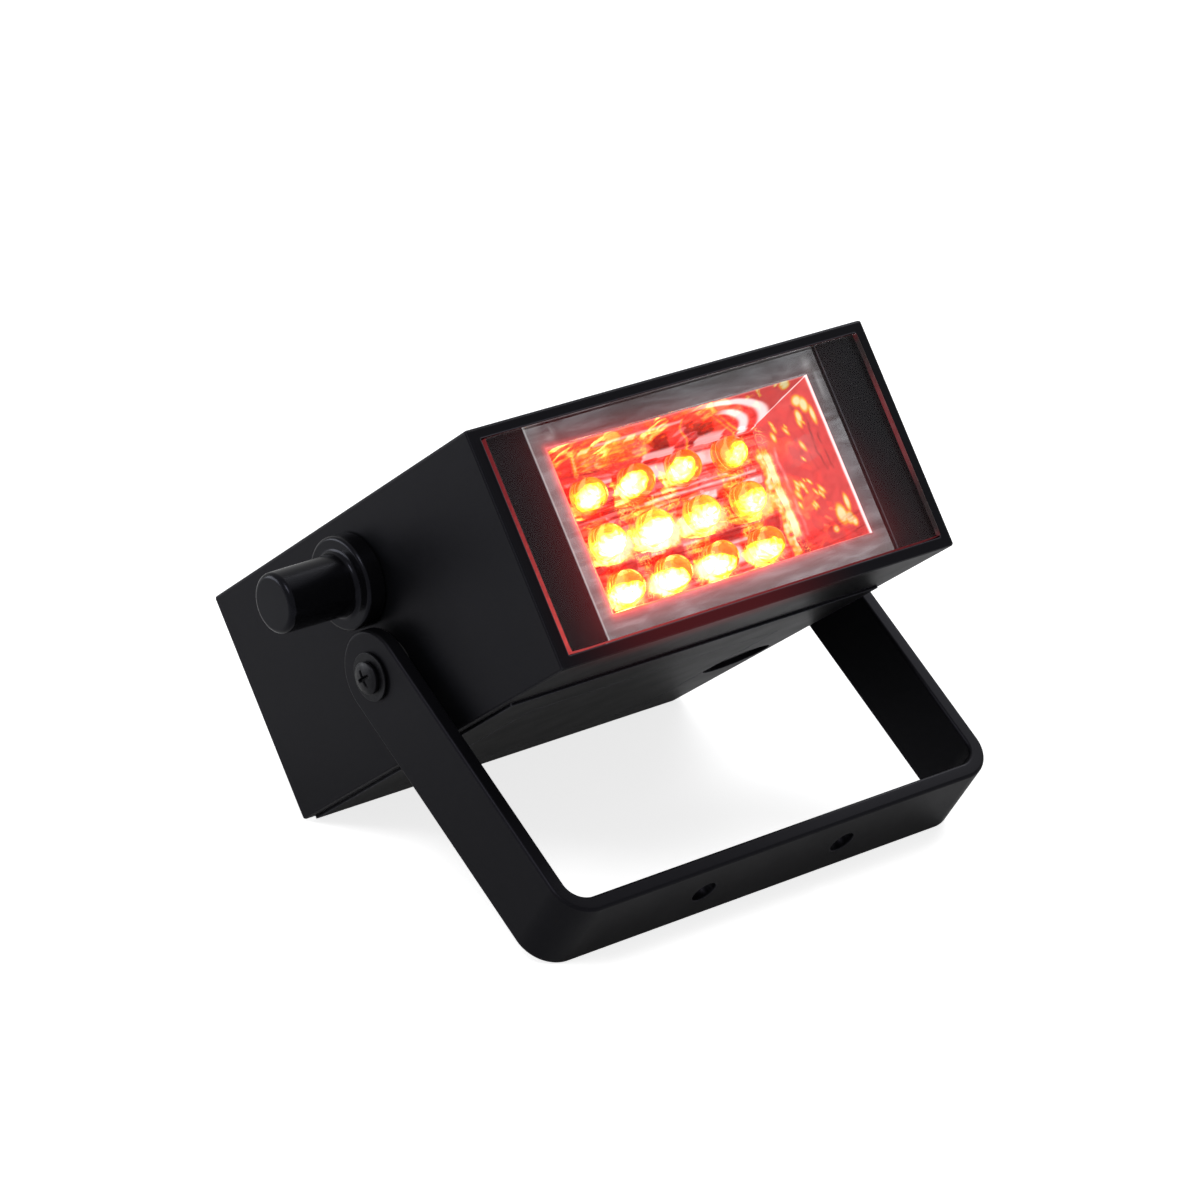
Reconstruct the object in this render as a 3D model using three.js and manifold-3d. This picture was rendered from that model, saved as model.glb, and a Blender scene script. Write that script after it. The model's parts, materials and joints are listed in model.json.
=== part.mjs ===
// A small battery strobe light: a box-shaped head with a window and twelve red lamps, on a tilting bracket.
// Millimetres. The head's own frame has its origin at the middle of the front face's plane, +X to the right
// for someone who stands behind the head, +Y towards the rear and +Z up. The whole part then leans back onto
// the bracket's bar and the rear edge of the underside, as it stands on a table.
import * as THREE from 'three';
import { mergeVertices } from 'three/addons/utils/BufferGeometryUtils.js';
import Module from 'manifold-3d';

const wasm = await Module();
wasm.setup();

// Head
const headWidth = 120;
const headHeight = 57.7;
const headDepth = 117.8;
const headEdge = 0.6;
const sideWall = 3.2;
const topWall = 2.7;
const stripWall = 2.7;
const rearWall = 2.7;

// Gaps: between pieces that touch, round screws, and how far a cutter runs past a face
const clearance = 0.3;
const overrun = 1;

// Window and the ledges beside the reflector
const windowThickness = 3;
const windowProud = 1;
const ledgeWidth = 12.5;
const ledgeThickness = 5;
const shelfReach = 2.8;
const flangeSink = 0.6;

// Reflector
const flangeThickness = 1.5;
const reflectorWall = 1.5;
const apertureWidth = 79;
const apertureHeight = 40;
const wellDepth = 16.7;
const wellFloorWidth = 64;
const wellFloorHigh = 14.4;
const wellFloorLow = -17.8;
const lampPostRadius = 2.6;
const lampPostInset = 3.3;
const lampPostLength = 14;
const lampScrewRadius = 1;
const lampScrewLength = 6.4;

// Lamps
const lampColumns = 4;
const lampRows = 3;
const lampPitchX = 14.3;
const lampPitchZ = 11.4;
const lampCentreZ = -1.6;
const lampRadius = 4;
const lampFlangeRadius = 4.6;
const lampFlangeThickness = 1.2;
const lampStandOut = 6;
const leadSize = 0.5;
const leadSpacing = 2.54;
const leadTail = 1.5;

// Boards
const boardThickness = 1.6;
const lampBoardWidth = 80;
const lampBoardHeight = 36;
const controlBoardWidth = 60;
const controlBoardRearRoom = 10.2;
const boardPostRadius = 2.8;
const boardPostHeight = 4.6;
const boardPostInset = 4;
const boardScrewRadius = 1;
const smallHeadRadius = 2;
const smallHeadHeight = 1.5;
const boardScrewLength = 5;
const chipLength = 9.6;
const chipWidth = 6.4;
const chipHeight = 3.4;
const capacitorRadius = 4;
const capacitorHeight = 11;
const transistorWidth = 10;
const transistorDepth = 4.5;
const transistorHeight = 15;

// Bottom cover
const coverThickness = 2.5;
const coverProud = 0.7;
const coverSeamBack = 27.2;
const tongueWidth = 16;
const tongueX = 30;
const tongueReach = 4;
const tongueThickness = 1.5;
const coverScrewX = 46;
const coverScrewRise = 9;
const coverScrewRadius = 1.5;
const coverScrewLength = 12;
const coverHeadRadius = 2.8;
const coverHeadHeight = 2;
const headPocketDepth = 2.6;
const rearBossRadius = 4.6;
const rearBossLength = 3;
const lugWidth = 10;
const lugDepth = 9;
const fingerRecessRadius = 8.8;
const fingerRecessDepth = 1.2;
const fingerRecessOffset = 7.8;
const fingerRecessY = 75;

// Battery bay, door and cells
const cellCount = 4;
const cellSpacing = 0.7;
const nubRadius = 2.75;
const nubLength = 1;
const baySideRoom = 1.2;
const bayTopRoom = 0.4;
const bayWall = 1.5;
const bayFront = 47.6;
const bayRearRoom = 12.5;
const contactThickness = 0.5;
const contactInset = 1.25;
const contactSideInset = 1.75;
const springRadius = 4;
const springWireRadius = 0.45;
const springLength = 5;
const springTurns = 3;
const solderTabWidth = 4;
const solderTabRise = 2.5;
const doorThickness = 2;
const doorWidth = 77;
const doorMargin = 1.4;
const doorOverlap = 7.25;
const doorLedge = 1.2;
const hookWidth = 8;
const hookInset = 14;
const hookStem = 0.9;
const hookReach = 1.6;
const hookThickness = 0.8;

// Knob and potentiometer
const knobRise = 13.6;
const knobLength = 24.4;
const knobRadius = 7.2;
const knobFlare = 0.2;
const knobEdge = 0.9;
const skirtRadius = 11.2;
const skirtThickness = 5;
const skirtEdge = 1.3;
const skirtFillet = 1.7;
const skirtHollowRadius = 8.6;
const skirtWall = 1.2;
const knobCrown = 4;
const shaftRadius = 3;
const bushRadius = 3.5;
const bushStandOut = 2.8;
const potRadius = 8;
const potDepth = 9;
const potTabWidth = 1.2;
const potTabLength = 4;
const potTabThickness = 0.6;
const potTabSpacing = 4;
const potNutRadius = 5.6;
const potNutThickness = 1.6;
const potWasherRadius = 6.2;
const potWasherThickness = 0.5;

// Bracket and its pivots
const pivotBack = 59.8;
const pivotDrop = 9;
const bracketTilt = 19.6;
const strapWidth = 21.5;
const strapThickness = 3.9;
const strapGap = 2.4;
const strapEdge = 0.8;
const bracketReach = 78.7;
const bracketInnerRadius = 5.1;
const barHoleRadius = 3.25;
const barHoleSpacing = 43;
const pivotRadius = 2;
const pivotHeadRadius = 3.9;
const pivotHeadHeight = 1.6;
const crossLength = 4.4;
const pivotWasherRadius = 5.8;
const pivotWasherThickness = 0.6;
const frictionWasherRadius = 8;
const pivotNutRadius = 4.04;
const pivotNutThickness = 3.2;
const pivotBossRadius = 6.6;
const pivotBossLength = 6;
const pivotScrewTail = 1.5;

// Internal leads
const wireRadius = 0.7;
const ribbonWidth = 4;
const ribbonThickness = 1.2;

// Counts of facets
const roundSides = 32;
const smallSides = 16;
const pinSides = 12;
const wireSides = 8;
const edgeSteps = 2;
const arcSteps = 6;
const domeSteps = 4;
const springStepsPerTurn = 8;
const springSides = 5;

// Finishes
const blackPlastic = { color: 0x1f2023, roughness: 0.45, metalness: 0 };
const darkPlastic = { color: 0x17181a, roughness: 0.35, metalness: 0 };
const clearAcrylic = { color: 0xe8eef0, roughness: 0.05, metalness: 0, transparent: true, opacity: 0.35 };
const brightMetal = { color: 0xc8ccd0, roughness: 0.15, metalness: 1 };
const redLamp = { color: 0xff4a20, roughness: 0.1, metalness: 0, emissive: 0xff3010 };
const boardGreen = { color: 0x2f6b3a, roughness: 0.5, metalness: 0 };
const chipBlack = { color: 0x111214, roughness: 0.6, metalness: 0 };
const zincSteel = { color: 0x9a9ca0, roughness: 0.35, metalness: 1 };
const blackSteel = { color: 0x2a2b2e, roughness: 0.4, metalness: 1 };
const rubberBlack = { color: 0x161616, roughness: 0.9, metalness: 0 };
const cellJacket = { color: 0x2c5f94, roughness: 0.4, metalness: 0.2 };
const wireRed = { color: 0xb02020, roughness: 0.6, metalness: 0 };
const wireBlack = { color: 0x151515, roughness: 0.6, metalness: 0 };
const wireGrey = { color: 0x8a8d90, roughness: 0.6, metalness: 0 };

// Turns a closed geometry into a solid that can be joined and cut
function solidOf(geometry) {
  const bare = geometry.clone();
  bare.deleteAttribute('normal');
  bare.deleteAttribute('uv');
  const merged = mergeVertices(bare);
  return new wasm.Manifold(new wasm.Mesh({
    numProp: 3,
    vertProperties: Float32Array.from(merged.attributes.position.array),
    triVerts: Uint32Array.from(merged.index.array),
  }));
}

// Turns a solid back into a geometry with flat-shaded faces
function geometryOf(solid) {
  const mesh = solid.getMesh();
  const geometry = new THREE.BufferGeometry();
  geometry.setAttribute('position', new THREE.BufferAttribute(Float32Array.from(mesh.vertProperties), 3));
  geometry.setIndex(new THREE.BufferAttribute(Uint32Array.from(mesh.triVerts), 1));
  geometry.computeVertexNormals();
  return geometry;
}

function joined(solids) {
  return solids.reduce((whole, next) => whole.add(next));
}

function cut(solid, cutters) {
  return cutters.reduce((rest, cutter) => rest.subtract(cutter), solid);
}

// A box between two corners
function block(low, high) {
  const size = high.map((value, i) => value - low[i]);
  const middle = high.map((value, i) => (value + low[i]) / 2);
  return solidOf(new THREE.BoxGeometry(...size).translate(...middle));
}

// Turns a geometry that stands along +Y so that it points along another axis
function alongAxis(geometry, axis) {
  if (axis === 'x') geometry.rotateZ(-Math.PI / 2);
  if (axis === 'z') geometry.rotateX(Math.PI / 2);
  return geometry;
}

// A round bar along an axis, from one place on that axis to another, about a centre given in the other two
function bar(axis, centre, radius, from, to, sides) {
  const geometry = new THREE.CylinderGeometry(radius, radius, to - from, sides);
  alongAxis(geometry, axis);
  const middle = (from + to) / 2;
  const places = { x: [middle, ...centre], y: [centre[0], middle, centre[1]], z: [...centre, middle] };
  return solidOf(geometry.translate(...places[axis]));
}

// A ring: a round bar with a round hole through it
function ring(axis, centre, radius, hole, from, to, sides) {
  const hollow = bar(axis, centre, hole, from - overrun, to + overrun, sides);
  return cut(bar(axis, centre, radius, from, to, sides), [hollow]);
}

// A turned piece: its profile is a list of [radius, height] that starts and ends on the axis
function turned(profile, sides) {
  return new THREE.LatheGeometry(profile.map(([radius, height]) => new THREE.Vector2(radius, height)), sides);
}

// The points of a quarter circle between two directions, about a centre, in the plane of a profile
function arc(centreA, centreB, radius, fromDegrees, toDegrees, steps) {
  return Array.from({ length: steps + 1 }, (_, i) => {
    const angle = THREE.MathUtils.degToRad(fromDegrees + (toDegrees - fromDegrees) * i / steps);
    return [centreA + radius * Math.cos(angle), centreB + radius * Math.sin(angle)];
  });
}

// A shape from a list of [a, b] points
function outline(points) {
  return new THREE.Shape(points.map(([a, b]) => new THREE.Vector2(a, b)));
}

// Extrudes a shape drawn in X and Z along Y, between two places, with its end edges rounded
function extrudedAlongY(shape, from, to, edge) {
  const geometry = new THREE.ExtrudeGeometry(shape, {
    depth: to - from - 2 * edge,
    bevelEnabled: edge > 0,
    bevelThickness: edge,
    bevelSize: edge,
    bevelOffset: -edge,
    bevelSegments: edgeSteps,
    curveSegments: arcSteps,
  });
  return solidOf(geometry.rotateX(Math.PI / 2).translate(0, to - edge, 0));
}

// A rectangle with rounded corners, as points
function roundedRectangle(halfWidth, halfHeight, radius) {
  return [
    ...arc(halfWidth - radius, halfHeight - radius, radius, 0, 90, edgeSteps),
    ...arc(radius - halfWidth, halfHeight - radius, radius, 90, 180, edgeSteps),
    ...arc(radius - halfWidth, radius - halfHeight, radius, 180, 270, edgeSteps),
    ...arc(halfWidth - radius, radius - halfHeight, radius, 270, 360, edgeSteps),
  ];
}

// A block along Y whose end faces are different rectangles, each given as [low x, high x, low z, high z]
function taperedBlock(front, frontRect, back, backRect) {
  const corners = [];
  for (const [y, [x0, x1, z0, z1]] of [[front, frontRect], [back, backRect]]) {
    corners.push([x0, y, z0], [x1, y, z0], [x1, y, z1], [x0, y, z1]);
  }
  const faces = [
    [0, 1, 2], [0, 2, 3], [4, 6, 5], [4, 7, 6],
    [0, 4, 5], [0, 5, 1], [1, 5, 6], [1, 6, 2],
    [2, 6, 7], [2, 7, 3], [3, 7, 4], [3, 4, 0],
  ];
  const geometry = new THREE.BufferGeometry();
  geometry.setAttribute('position', new THREE.Float32BufferAttribute(corners.flat(), 3));
  geometry.setIndex(faces.flat());
  return solidOf(geometry);
}

// A tube along a smooth route, as a closed geometry
function tubeAlong(points, section, steps) {
  const path = new THREE.CatmullRomCurve3(points.map((point) => new THREE.Vector3(...point)));
  return new THREE.ExtrudeGeometry(section, { steps, bevelEnabled: false, extrudePath: path });
}

function polygon(radius, sides) {
  return outline(Array.from({ length: sides }, (_, i) => {
    const angle = 2 * Math.PI * i / sides;
    return [radius * Math.cos(angle), radius * Math.sin(angle)];
  }));
}

function named(name, geometry, finish) {
  const mesh = new THREE.Mesh(geometry, new THREE.MeshStandardMaterial(finish));
  mesh.name = name;
  return mesh;
}

// Places along the head that several pieces share
const sideFace = headWidth / 2;
const innerSide = sideFace - sideWall;
const innerTop = headHeight / 2 - topWall;
const innerBottom = stripWall - headHeight / 2;
const windowBack = windowThickness - windowProud;
const ledgeFront = windowBack + clearance;
const ledgeInnerX = innerSide - ledgeWidth;
const reflectorFront = ledgeFront + flangeSink;
const shelfFront = reflectorFront + flangeThickness + clearance;
const wellFloor = reflectorFront + wellDepth;
const wellBack = wellFloor + reflectorWall;
const lampBase = wellBack + clearance + lampFlangeThickness;
const lampBoardFront = lampBase + clearance;
const lampBoardBack = lampBoardFront + boardThickness;
const lampTip = wellFloor - lampStandOut;
const lampDomeCentre = lampTip + lampRadius;
const lampPostX = wellFloorWidth / 2 + reflectorWall + lampPostInset - clearance;
const coverBottom = -headHeight / 2 - coverProud;
const coverTop = coverBottom + coverThickness;
const coverHalfWidth = innerSide - clearance;
const coverFront = coverSeamBack + clearance;
const coverRear = headDepth - clearance;
const tongueBottom = innerBottom + clearance;
const rearInner = headDepth - rearWall;
const rearBossFront = rearInner - rearBossLength;
const lugRear = rearBossFront - clearance;
const coverScrewZ = coverBottom + coverScrewRise;
const coverScrewSeat = headDepth - headPocketDepth + clearance;
const coverScrewEnd = coverScrewSeat - coverScrewLength;
const doorTop = coverBottom + doorThickness;
const ledgeTop = doorTop + clearance + doorLedge;
const fingerRecessX = doorWidth / 2 + fingerRecessOffset;
const bayHalfWidth = doorWidth / 2 - doorOverlap;
const bayRear = headDepth - bayRearRoom;
const cellRow = 2 * (bayHalfWidth - baySideRoom);
const cellRadius = (cellRow - (cellCount - 1) * cellSpacing) / (2 * cellCount);
const cellPitch = 2 * cellRadius + cellSpacing;
const cellAxisZ = doorTop + clearance + cellRadius;
const bayCeiling = cellAxisZ + cellRadius + bayTopRoom;
const contactRoom = contactThickness + 2 * clearance;
const cellLength = bayRear - bayFront - 2 * contactRoom - springLength - nubLength;
const contactHeight = 2 * (cellRadius - contactInset);
const contactWidth = 2 * (cellRadius - contactSideInset);
const bayRoof = bayCeiling + bayWall;
const doorFront = bayFront - doorMargin;
const doorRear = bayRear + doorMargin;
const controlBoardBottom = bayRoof + boardPostHeight + clearance;
const controlBoardTop = controlBoardBottom + boardThickness;
const controlBoardFront = bayFront + bayWall;
const controlBoardRear = bayRear - controlBoardRearRoom;
const controlBoardDepth = controlBoardRear - controlBoardFront;
const pivotPlace = [pivotBack, -pivotDrop];
const knobPlace = [pivotBack, knobRise];
const coverScrewPlaces = [-coverScrewX, coverScrewX].map((x) => [x, coverScrewZ]);
const boardScrewPlaces = [[-1, controlBoardFront + boardPostInset], [1, controlBoardRear - boardPostInset]]
  .map(([side, y]) => [side * (controlBoardWidth / 2 - boardPostInset), y]);

// Half the width and the two heights of the reflector's well at a place along the head
function wellAt(y) {
  const share = (y - reflectorFront) / wellDepth;
  const halfWidth = THREE.MathUtils.lerp(apertureWidth / 2, wellFloorWidth / 2, share);
  const low = THREE.MathUtils.lerp(-apertureHeight / 2, wellFloorLow, share);
  const high = THREE.MathUtils.lerp(apertureHeight / 2, wellFloorHigh, share);
  return [-halfWidth, halfWidth, low, high];
}

function grown([x0, x1, z0, z1], amount) {
  return [x0 - amount, x1 + amount, z0 - amount, z1 + amount];
}

function lampPlaces() {
  const places = [];
  for (let row = 0; row < lampRows; row += 1) {
    for (let column = 0; column < lampColumns; column += 1) {
      const x = (column - (lampColumns - 1) / 2) * lampPitchX;
      const z = lampCentreZ + ((lampRows - 1) / 2 - row) * lampPitchZ;
      places.push({ name: `led_${row + 1}_${column + 1}`, x, z });
    }
  }
  return places;
}

// One side's ledge: it carries the window in front and the reflector's flange on a shelf behind
function ledge(side) {
  const shelfX = ledgeInnerX - shelfReach;
  const points = [
    [sideFace - sideWall / 2, ledgeFront],
    [ledgeInnerX, ledgeFront],
    [ledgeInnerX, shelfFront],
    [shelfX, shelfFront],
    [shelfX, ledgeFront + ledgeThickness],
    [sideFace - sideWall / 2, ledgeFront + ledgeThickness],
  ].map(([x, y]) => [side * x, y]);
  const shape = outline(side > 0 ? points : points.reverse());
  const height = headHeight - topWall - stripWall + 2 * overrun;
  const geometry = new THREE.ExtrudeGeometry(shape, { depth: height, bevelEnabled: false });
  return solidOf(geometry.translate(0, 0, innerBottom - overrun));
}

function housingShell() {
  const box = extrudedAlongY(
    outline(roundedRectangle(headWidth / 2, headHeight / 2, headEdge)), 0, headDepth, headEdge);
  const cavity = block([-innerSide, -overrun, innerBottom], [innerSide, rearInner, innerTop]);
  const underside = block(
    [-innerSide, coverSeamBack, coverBottom - overrun],
    [innerSide, headDepth + overrun, coverTop + clearance]);
  const floorGap = block(
    [-innerSide, coverSeamBack, -headHeight / 2],
    [innerSide, rearInner, innerBottom + overrun]);
  const shell = cut(box, [cavity, underside, floorGap]);
  const extras = [ledge(-1), ledge(1)];
  for (const place of coverScrewPlaces) {
    extras.push(bar('y', place, rearBossRadius, rearBossFront, headDepth - rearWall / 2, smallSides));
  }
  for (const side of [-1, 1]) {
    const span = [side * (innerSide - pivotBossLength), side * (sideFace - sideWall / 2)].sort((a, b) => a - b);
    extras.push(bar('x', pivotPlace, pivotBossRadius, ...span, smallSides));
  }
  const holes = [];
  for (const place of coverScrewPlaces) {
    holes.push(bar('y', place, coverScrewRadius + clearance, rearBossFront - overrun, headDepth, pinSides));
    holes.push(bar('y', place, coverHeadRadius + clearance,
      headDepth - headPocketDepth, headDepth + overrun, smallSides));
  }
  for (const side of [-1, 1]) {
    const through = [side * (innerSide - pivotBossLength - overrun), side * (sideFace + overrun)];
    holes.push(bar('x', pivotPlace, pivotRadius + clearance, ...through.sort((a, b) => a - b), smallSides));
    const pocketDepth = pivotNutThickness + clearance;
    const pocket = [
      side * (innerSide - pivotBossLength - overrun),
      side * (innerSide - pivotBossLength + pocketDepth)];
    holes.push(bar('x', pivotPlace, pivotNutRadius + clearance, ...pocket.sort((a, b) => a - b), 6));
  }
  holes.push(bar('x', knobPlace, bushRadius + clearance, -sideFace - overrun, overrun - innerSide, smallSides));
  return named('housing_shell', geometryOf(cut(joined([shell, ...extras]), holes)), blackPlastic);
}

function frontWindow() {
  const shape = outline(roundedRectangle(innerSide - clearance, innerTop - clearance, clearance));
  const lift = (innerTop + innerBottom) / 2;
  const pane = extrudedAlongY(shape, -windowProud, windowBack, 0).translate([0, 0, lift]);
  return named('front_window', geometryOf(pane), clearAcrylic);
}

function reflector() {
  const flange = block(
    [clearance - ledgeInnerX, reflectorFront, innerBottom + clearance],
    [ledgeInnerX - clearance, reflectorFront + flangeThickness, innerTop - clearance]);
  const outer = taperedBlock(
    reflectorFront + flangeThickness / 2, grown(wellAt(reflectorFront + flangeThickness / 2), reflectorWall),
    wellBack, grown(wellAt(wellFloor), reflectorWall));
  const well = taperedBlock(
    reflectorFront - overrun, wellAt(reflectorFront - overrun), wellFloor, wellAt(wellFloor));
  const posts = [-1, 1].map((side) => bar('y', [side * lampPostX, lampCentreZ], lampPostRadius,
    lampBoardFront - clearance - lampPostLength, lampBoardFront - clearance, smallSides));
  const pilots = [-1, 1].map((side) => bar('y', [side * lampPostX, lampCentreZ], lampScrewRadius + clearance,
    lampBoardFront - lampScrewLength - clearance, lampBoardFront + overrun, pinSides));
  const lampHoles = lampPlaces().map(({ x, z }) => bar('y', [x, z], lampRadius + clearance,
    wellFloor - overrun, wellBack + overrun, smallSides));
  const tray = cut(joined([flange, outer, ...posts]), [well, ...pilots, ...lampHoles]);
  return named('reflector', geometryOf(tray), brightMetal);
}

// One lens-top lamp: its profile runs from the base towards the tip of its dome
function lamp({ name, x, z }) {
  const bodyHeight = lampBase - lampDomeCentre;
  const profile = [
    [0, 0],
    [lampFlangeRadius, 0],
    [lampFlangeRadius, lampFlangeThickness],
    [lampRadius, lampFlangeThickness],
    ...arc(0, bodyHeight, lampRadius, 0, 90, domeSteps).slice(0, -1),
    [0, bodyHeight + lampRadius],
  ];
  const lens = solidOf(turned(profile, smallSides).rotateX(Math.PI).translate(x, lampBase, z));
  const pins = [-1, 1].map((side) => {
    const middle = x + side * leadSpacing / 2;
    return block(
      [middle - leadSize / 2, lampBase - lampFlangeThickness / 2, z - leadSize / 2],
      [middle + leadSize / 2, lampBoardBack + leadTail, z + leadSize / 2]);
  });
  return named(name, geometryOf(joined([lens, ...pins])), redLamp);
}

function lampBoard() {
  const plate = block(
    [-lampBoardWidth / 2, lampBoardFront, lampCentreZ - lampBoardHeight / 2],
    [lampBoardWidth / 2, lampBoardBack, lampCentreZ + lampBoardHeight / 2]);
  const holes = [-1, 1].map((side) => bar('y', [side * lampPostX, lampCentreZ], lampScrewRadius + clearance,
    lampBoardFront - overrun, lampBoardBack + overrun, pinSides));
  const room = leadSize / 2 + clearance;
  for (const { x, z } of lampPlaces()) {
    for (const side of [-1, 1]) {
      const middle = x + side * leadSpacing / 2;
      holes.push(block(
        [middle - room, lampBoardFront - overrun, z - room],
        [middle + room, lampBoardBack + overrun, z + room]));
    }
  }
  return named('led_board', geometryOf(cut(plate, holes)), boardGreen);
}

// A pan-head screw along an axis: the head's seat, which way the head points, and the shank's length
function screw(name, axis, centre, seat, headSide, sizes, finish) {
  const { radius, length, headRadius, headHeight } = sizes;
  const headSpan = [seat, seat + headSide * headHeight].sort((a, b) => a - b);
  const shankSpan = [seat + headSide * headHeight / 2, seat - headSide * length].sort((a, b) => a - b);
  const head = bar(axis, centre, headRadius, ...headSpan, smallSides);
  const shank = bar(axis, centre, radius, ...shankSpan, pinSides);
  const face = seat + headSide * headHeight;
  const across = sizes.cross ?? headRadius;
  const slots = [[across / 2, across / 8], [across / 8, across / 2]].map(([a, b]) => {
    const span = [face - headSide * headHeight / 2, face + headSide * overrun].sort((p, q) => p - q);
    const corner = (sign, end) => {
      const offsets = [centre[0] + sign * a, centre[1] + sign * b];
      if (axis === 'x') return [span[end], ...offsets];
      if (axis === 'y') return [offsets[0], span[end], offsets[1]];
      return [...offsets, span[end]];
    };
    return block(corner(-1, 0), corner(1, 1));
  });
  return named(name, geometryOf(cut(joined([head, shank]), slots)), finish);
}

function lampScrews() {
  const sizes = {
    radius: lampScrewRadius, length: lampScrewLength, headRadius: smallHeadRadius, headHeight: smallHeadHeight };
  return [-1, 1].map((side) => screw(side < 0 ? 'lamp_screw_left' : 'lamp_screw_right', 'y',
    [side * lampPostX, lampCentreZ], lampBoardBack + clearance, 1, sizes, zincSteel));
}

function bottomCover() {
  const plate = block([-coverHalfWidth, coverFront, coverBottom], [coverHalfWidth, coverRear, coverTop]);
  const slab = block(
    [-doorWidth / 2 - doorMargin, doorFront - doorMargin, coverTop - coverThickness / 2],
    [doorWidth / 2 + doorMargin, doorRear + doorMargin, ledgeTop]);
  const bay = block(
    [-bayHalfWidth - bayWall, bayFront - bayWall, coverTop - coverThickness / 2],
    [bayHalfWidth + bayWall, bayRear + bayWall, bayRoof]);
  const lugs = coverScrewPlaces.map(([x]) => block(
    [x - lugWidth / 2, lugRear - lugDepth, coverTop - coverThickness / 2],
    [x + lugWidth / 2, lugRear, coverScrewZ + lugWidth / 2]));
  const tongues = [-tongueX, tongueX].flatMap((x) => [
    block(
      [x - tongueWidth / 2, coverFront, coverTop - coverThickness / 2],
      [x + tongueWidth / 2, coverFront + tongueThickness, tongueBottom + tongueThickness]),
    block(
      [x - tongueWidth / 2, coverFront - tongueReach, tongueBottom],
      [x + tongueWidth / 2, coverFront + tongueThickness, tongueBottom + tongueThickness]),
  ]);
  const posts = boardScrewPlaces.map((place) => bar('z', place, boardPostRadius,
    bayRoof - bayWall / 2, bayRoof + boardPostHeight, smallSides));
  const recess = block(
    [-doorWidth / 2, doorFront, coverBottom - overrun],
    [doorWidth / 2, doorRear, doorTop + clearance]);
  const inside = block([-bayHalfWidth, bayFront, coverBottom - overrun], [bayHalfWidth, bayRear, bayCeiling]);
  const hookWindows = hookPlaces().map((y) => block(
    [-doorWidth / 2, y - hookWidth / 2 - clearance, coverBottom - overrun],
    [-bayHalfWidth - bayWall, y + hookWidth / 2 + clearance, ledgeTop + overrun]));
  const screwPilots = coverScrewPlaces.map((place) => bar('y', place, coverScrewRadius + clearance,
    coverScrewEnd - clearance, lugRear + overrun, pinSides));
  const boardPilots = boardScrewPlaces.map((place) => bar('z', place, boardScrewRadius + clearance,
    controlBoardTop - boardScrewLength - clearance, controlBoardTop, pinSides));
  const finger = bar('z', [fingerRecessX, fingerRecessY], fingerRecessRadius,
    coverBottom - overrun, coverBottom + fingerRecessDepth, roundSides);
  const tabSlots = outerContacts().map(({ x, back }) => block(
    [x - solderTabWidth / 2 - clearance, back - contactThickness - clearance, bayCeiling - overrun],
    [x + solderTabWidth / 2 + clearance, back + clearance, bayRoof + overrun]));
  const solid = cut(joined([plate, slab, bay, ...lugs, ...tongues, ...posts]),
    [recess, inside, ...hookWindows, ...screwPilots, ...boardPilots, finger, ...tabSlots]);
  return named('bottom_cover', geometryOf(solid), blackPlastic);
}

function coverScrews() {
  const sizes = {
    radius: coverScrewRadius, length: coverScrewLength, headRadius: coverHeadRadius, headHeight: coverHeadHeight };
  return coverScrewPlaces.map((place, i) =>
    screw(`cover_screw_${i + 1}`, 'y', place, coverScrewSeat, 1, sizes, blackSteel));
}

function hookPlaces() {
  return [doorFront + hookInset, doorRear - hookInset];
}

// The door: a flush plate with two hooks on its left edge, which it swings on
function batteryDoor() {
  const left = clearance - doorWidth / 2;
  const plate = block(
    [left, doorFront + clearance, coverBottom], [doorWidth / 2 - clearance, doorRear - clearance, doorTop]);
  const hooks = hookPlaces().flatMap((y) => [
    block(
      [left, y - hookWidth / 2, doorTop - doorThickness / 2],
      [left + hookStem, y + hookWidth / 2, ledgeTop + clearance + hookThickness]),
    block(
      [left - hookReach, y - hookWidth / 2, ledgeTop + clearance],
      [left + hookStem, y + hookWidth / 2, ledgeTop + clearance + hookThickness]),
  ]);
  return named('battery_door', geometryOf(joined([plate, ...hooks])), blackPlastic);
}

// The cells lie side by side along Y, every other one turned round, so that they join in series
function cells() {
  const front = bayFront + contactRoom;
  return Array.from({ length: cellCount }, (_, i) => {
    const x = (i - (cellCount - 1) / 2) * cellPitch;
    const profile = [
      [0, 0], [cellRadius, 0], [cellRadius, cellLength], [nubRadius, cellLength],
      [nubRadius, cellLength + nubLength], [0, cellLength + nubLength]];
    const geometry = turned(profile, smallSides);
    if (i % 2 === 0) {
      geometry.rotateX(Math.PI).translate(x, front + cellLength + nubLength, cellAxisZ);
    } else {
      geometry.translate(x, front + springLength, cellAxisZ);
    }
    return named(`battery_${i + 1}`, geometry, cellJacket);
  });
}

// The contacts: which cells each one touches, at which end of the bay, and which of them it presses on
function contactPlan() {
  return [
    { name: 'contact_front_left', end: 'front', cells: [0, 1], spring: 1 },
    { name: 'contact_front_right', end: 'front', cells: [2, 3], spring: 3 },
    { name: 'contact_rear_left', end: 'rear', cells: [0], spring: 0 },
    { name: 'contact_rear_middle', end: 'rear', cells: [1, 2], spring: 2 },
    { name: 'contact_rear_right', end: 'rear', cells: [3], spring: null },
  ];
}

function cellX(index) {
  return (index - (cellCount - 1) / 2) * cellPitch;
}

function outerContacts() {
  return contactPlan()
    .filter((contact) => contact.cells.length === 1)
    .map((contact) => ({ x: cellX(contact.cells[0]), back: bayRear - clearance }));
}

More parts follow.
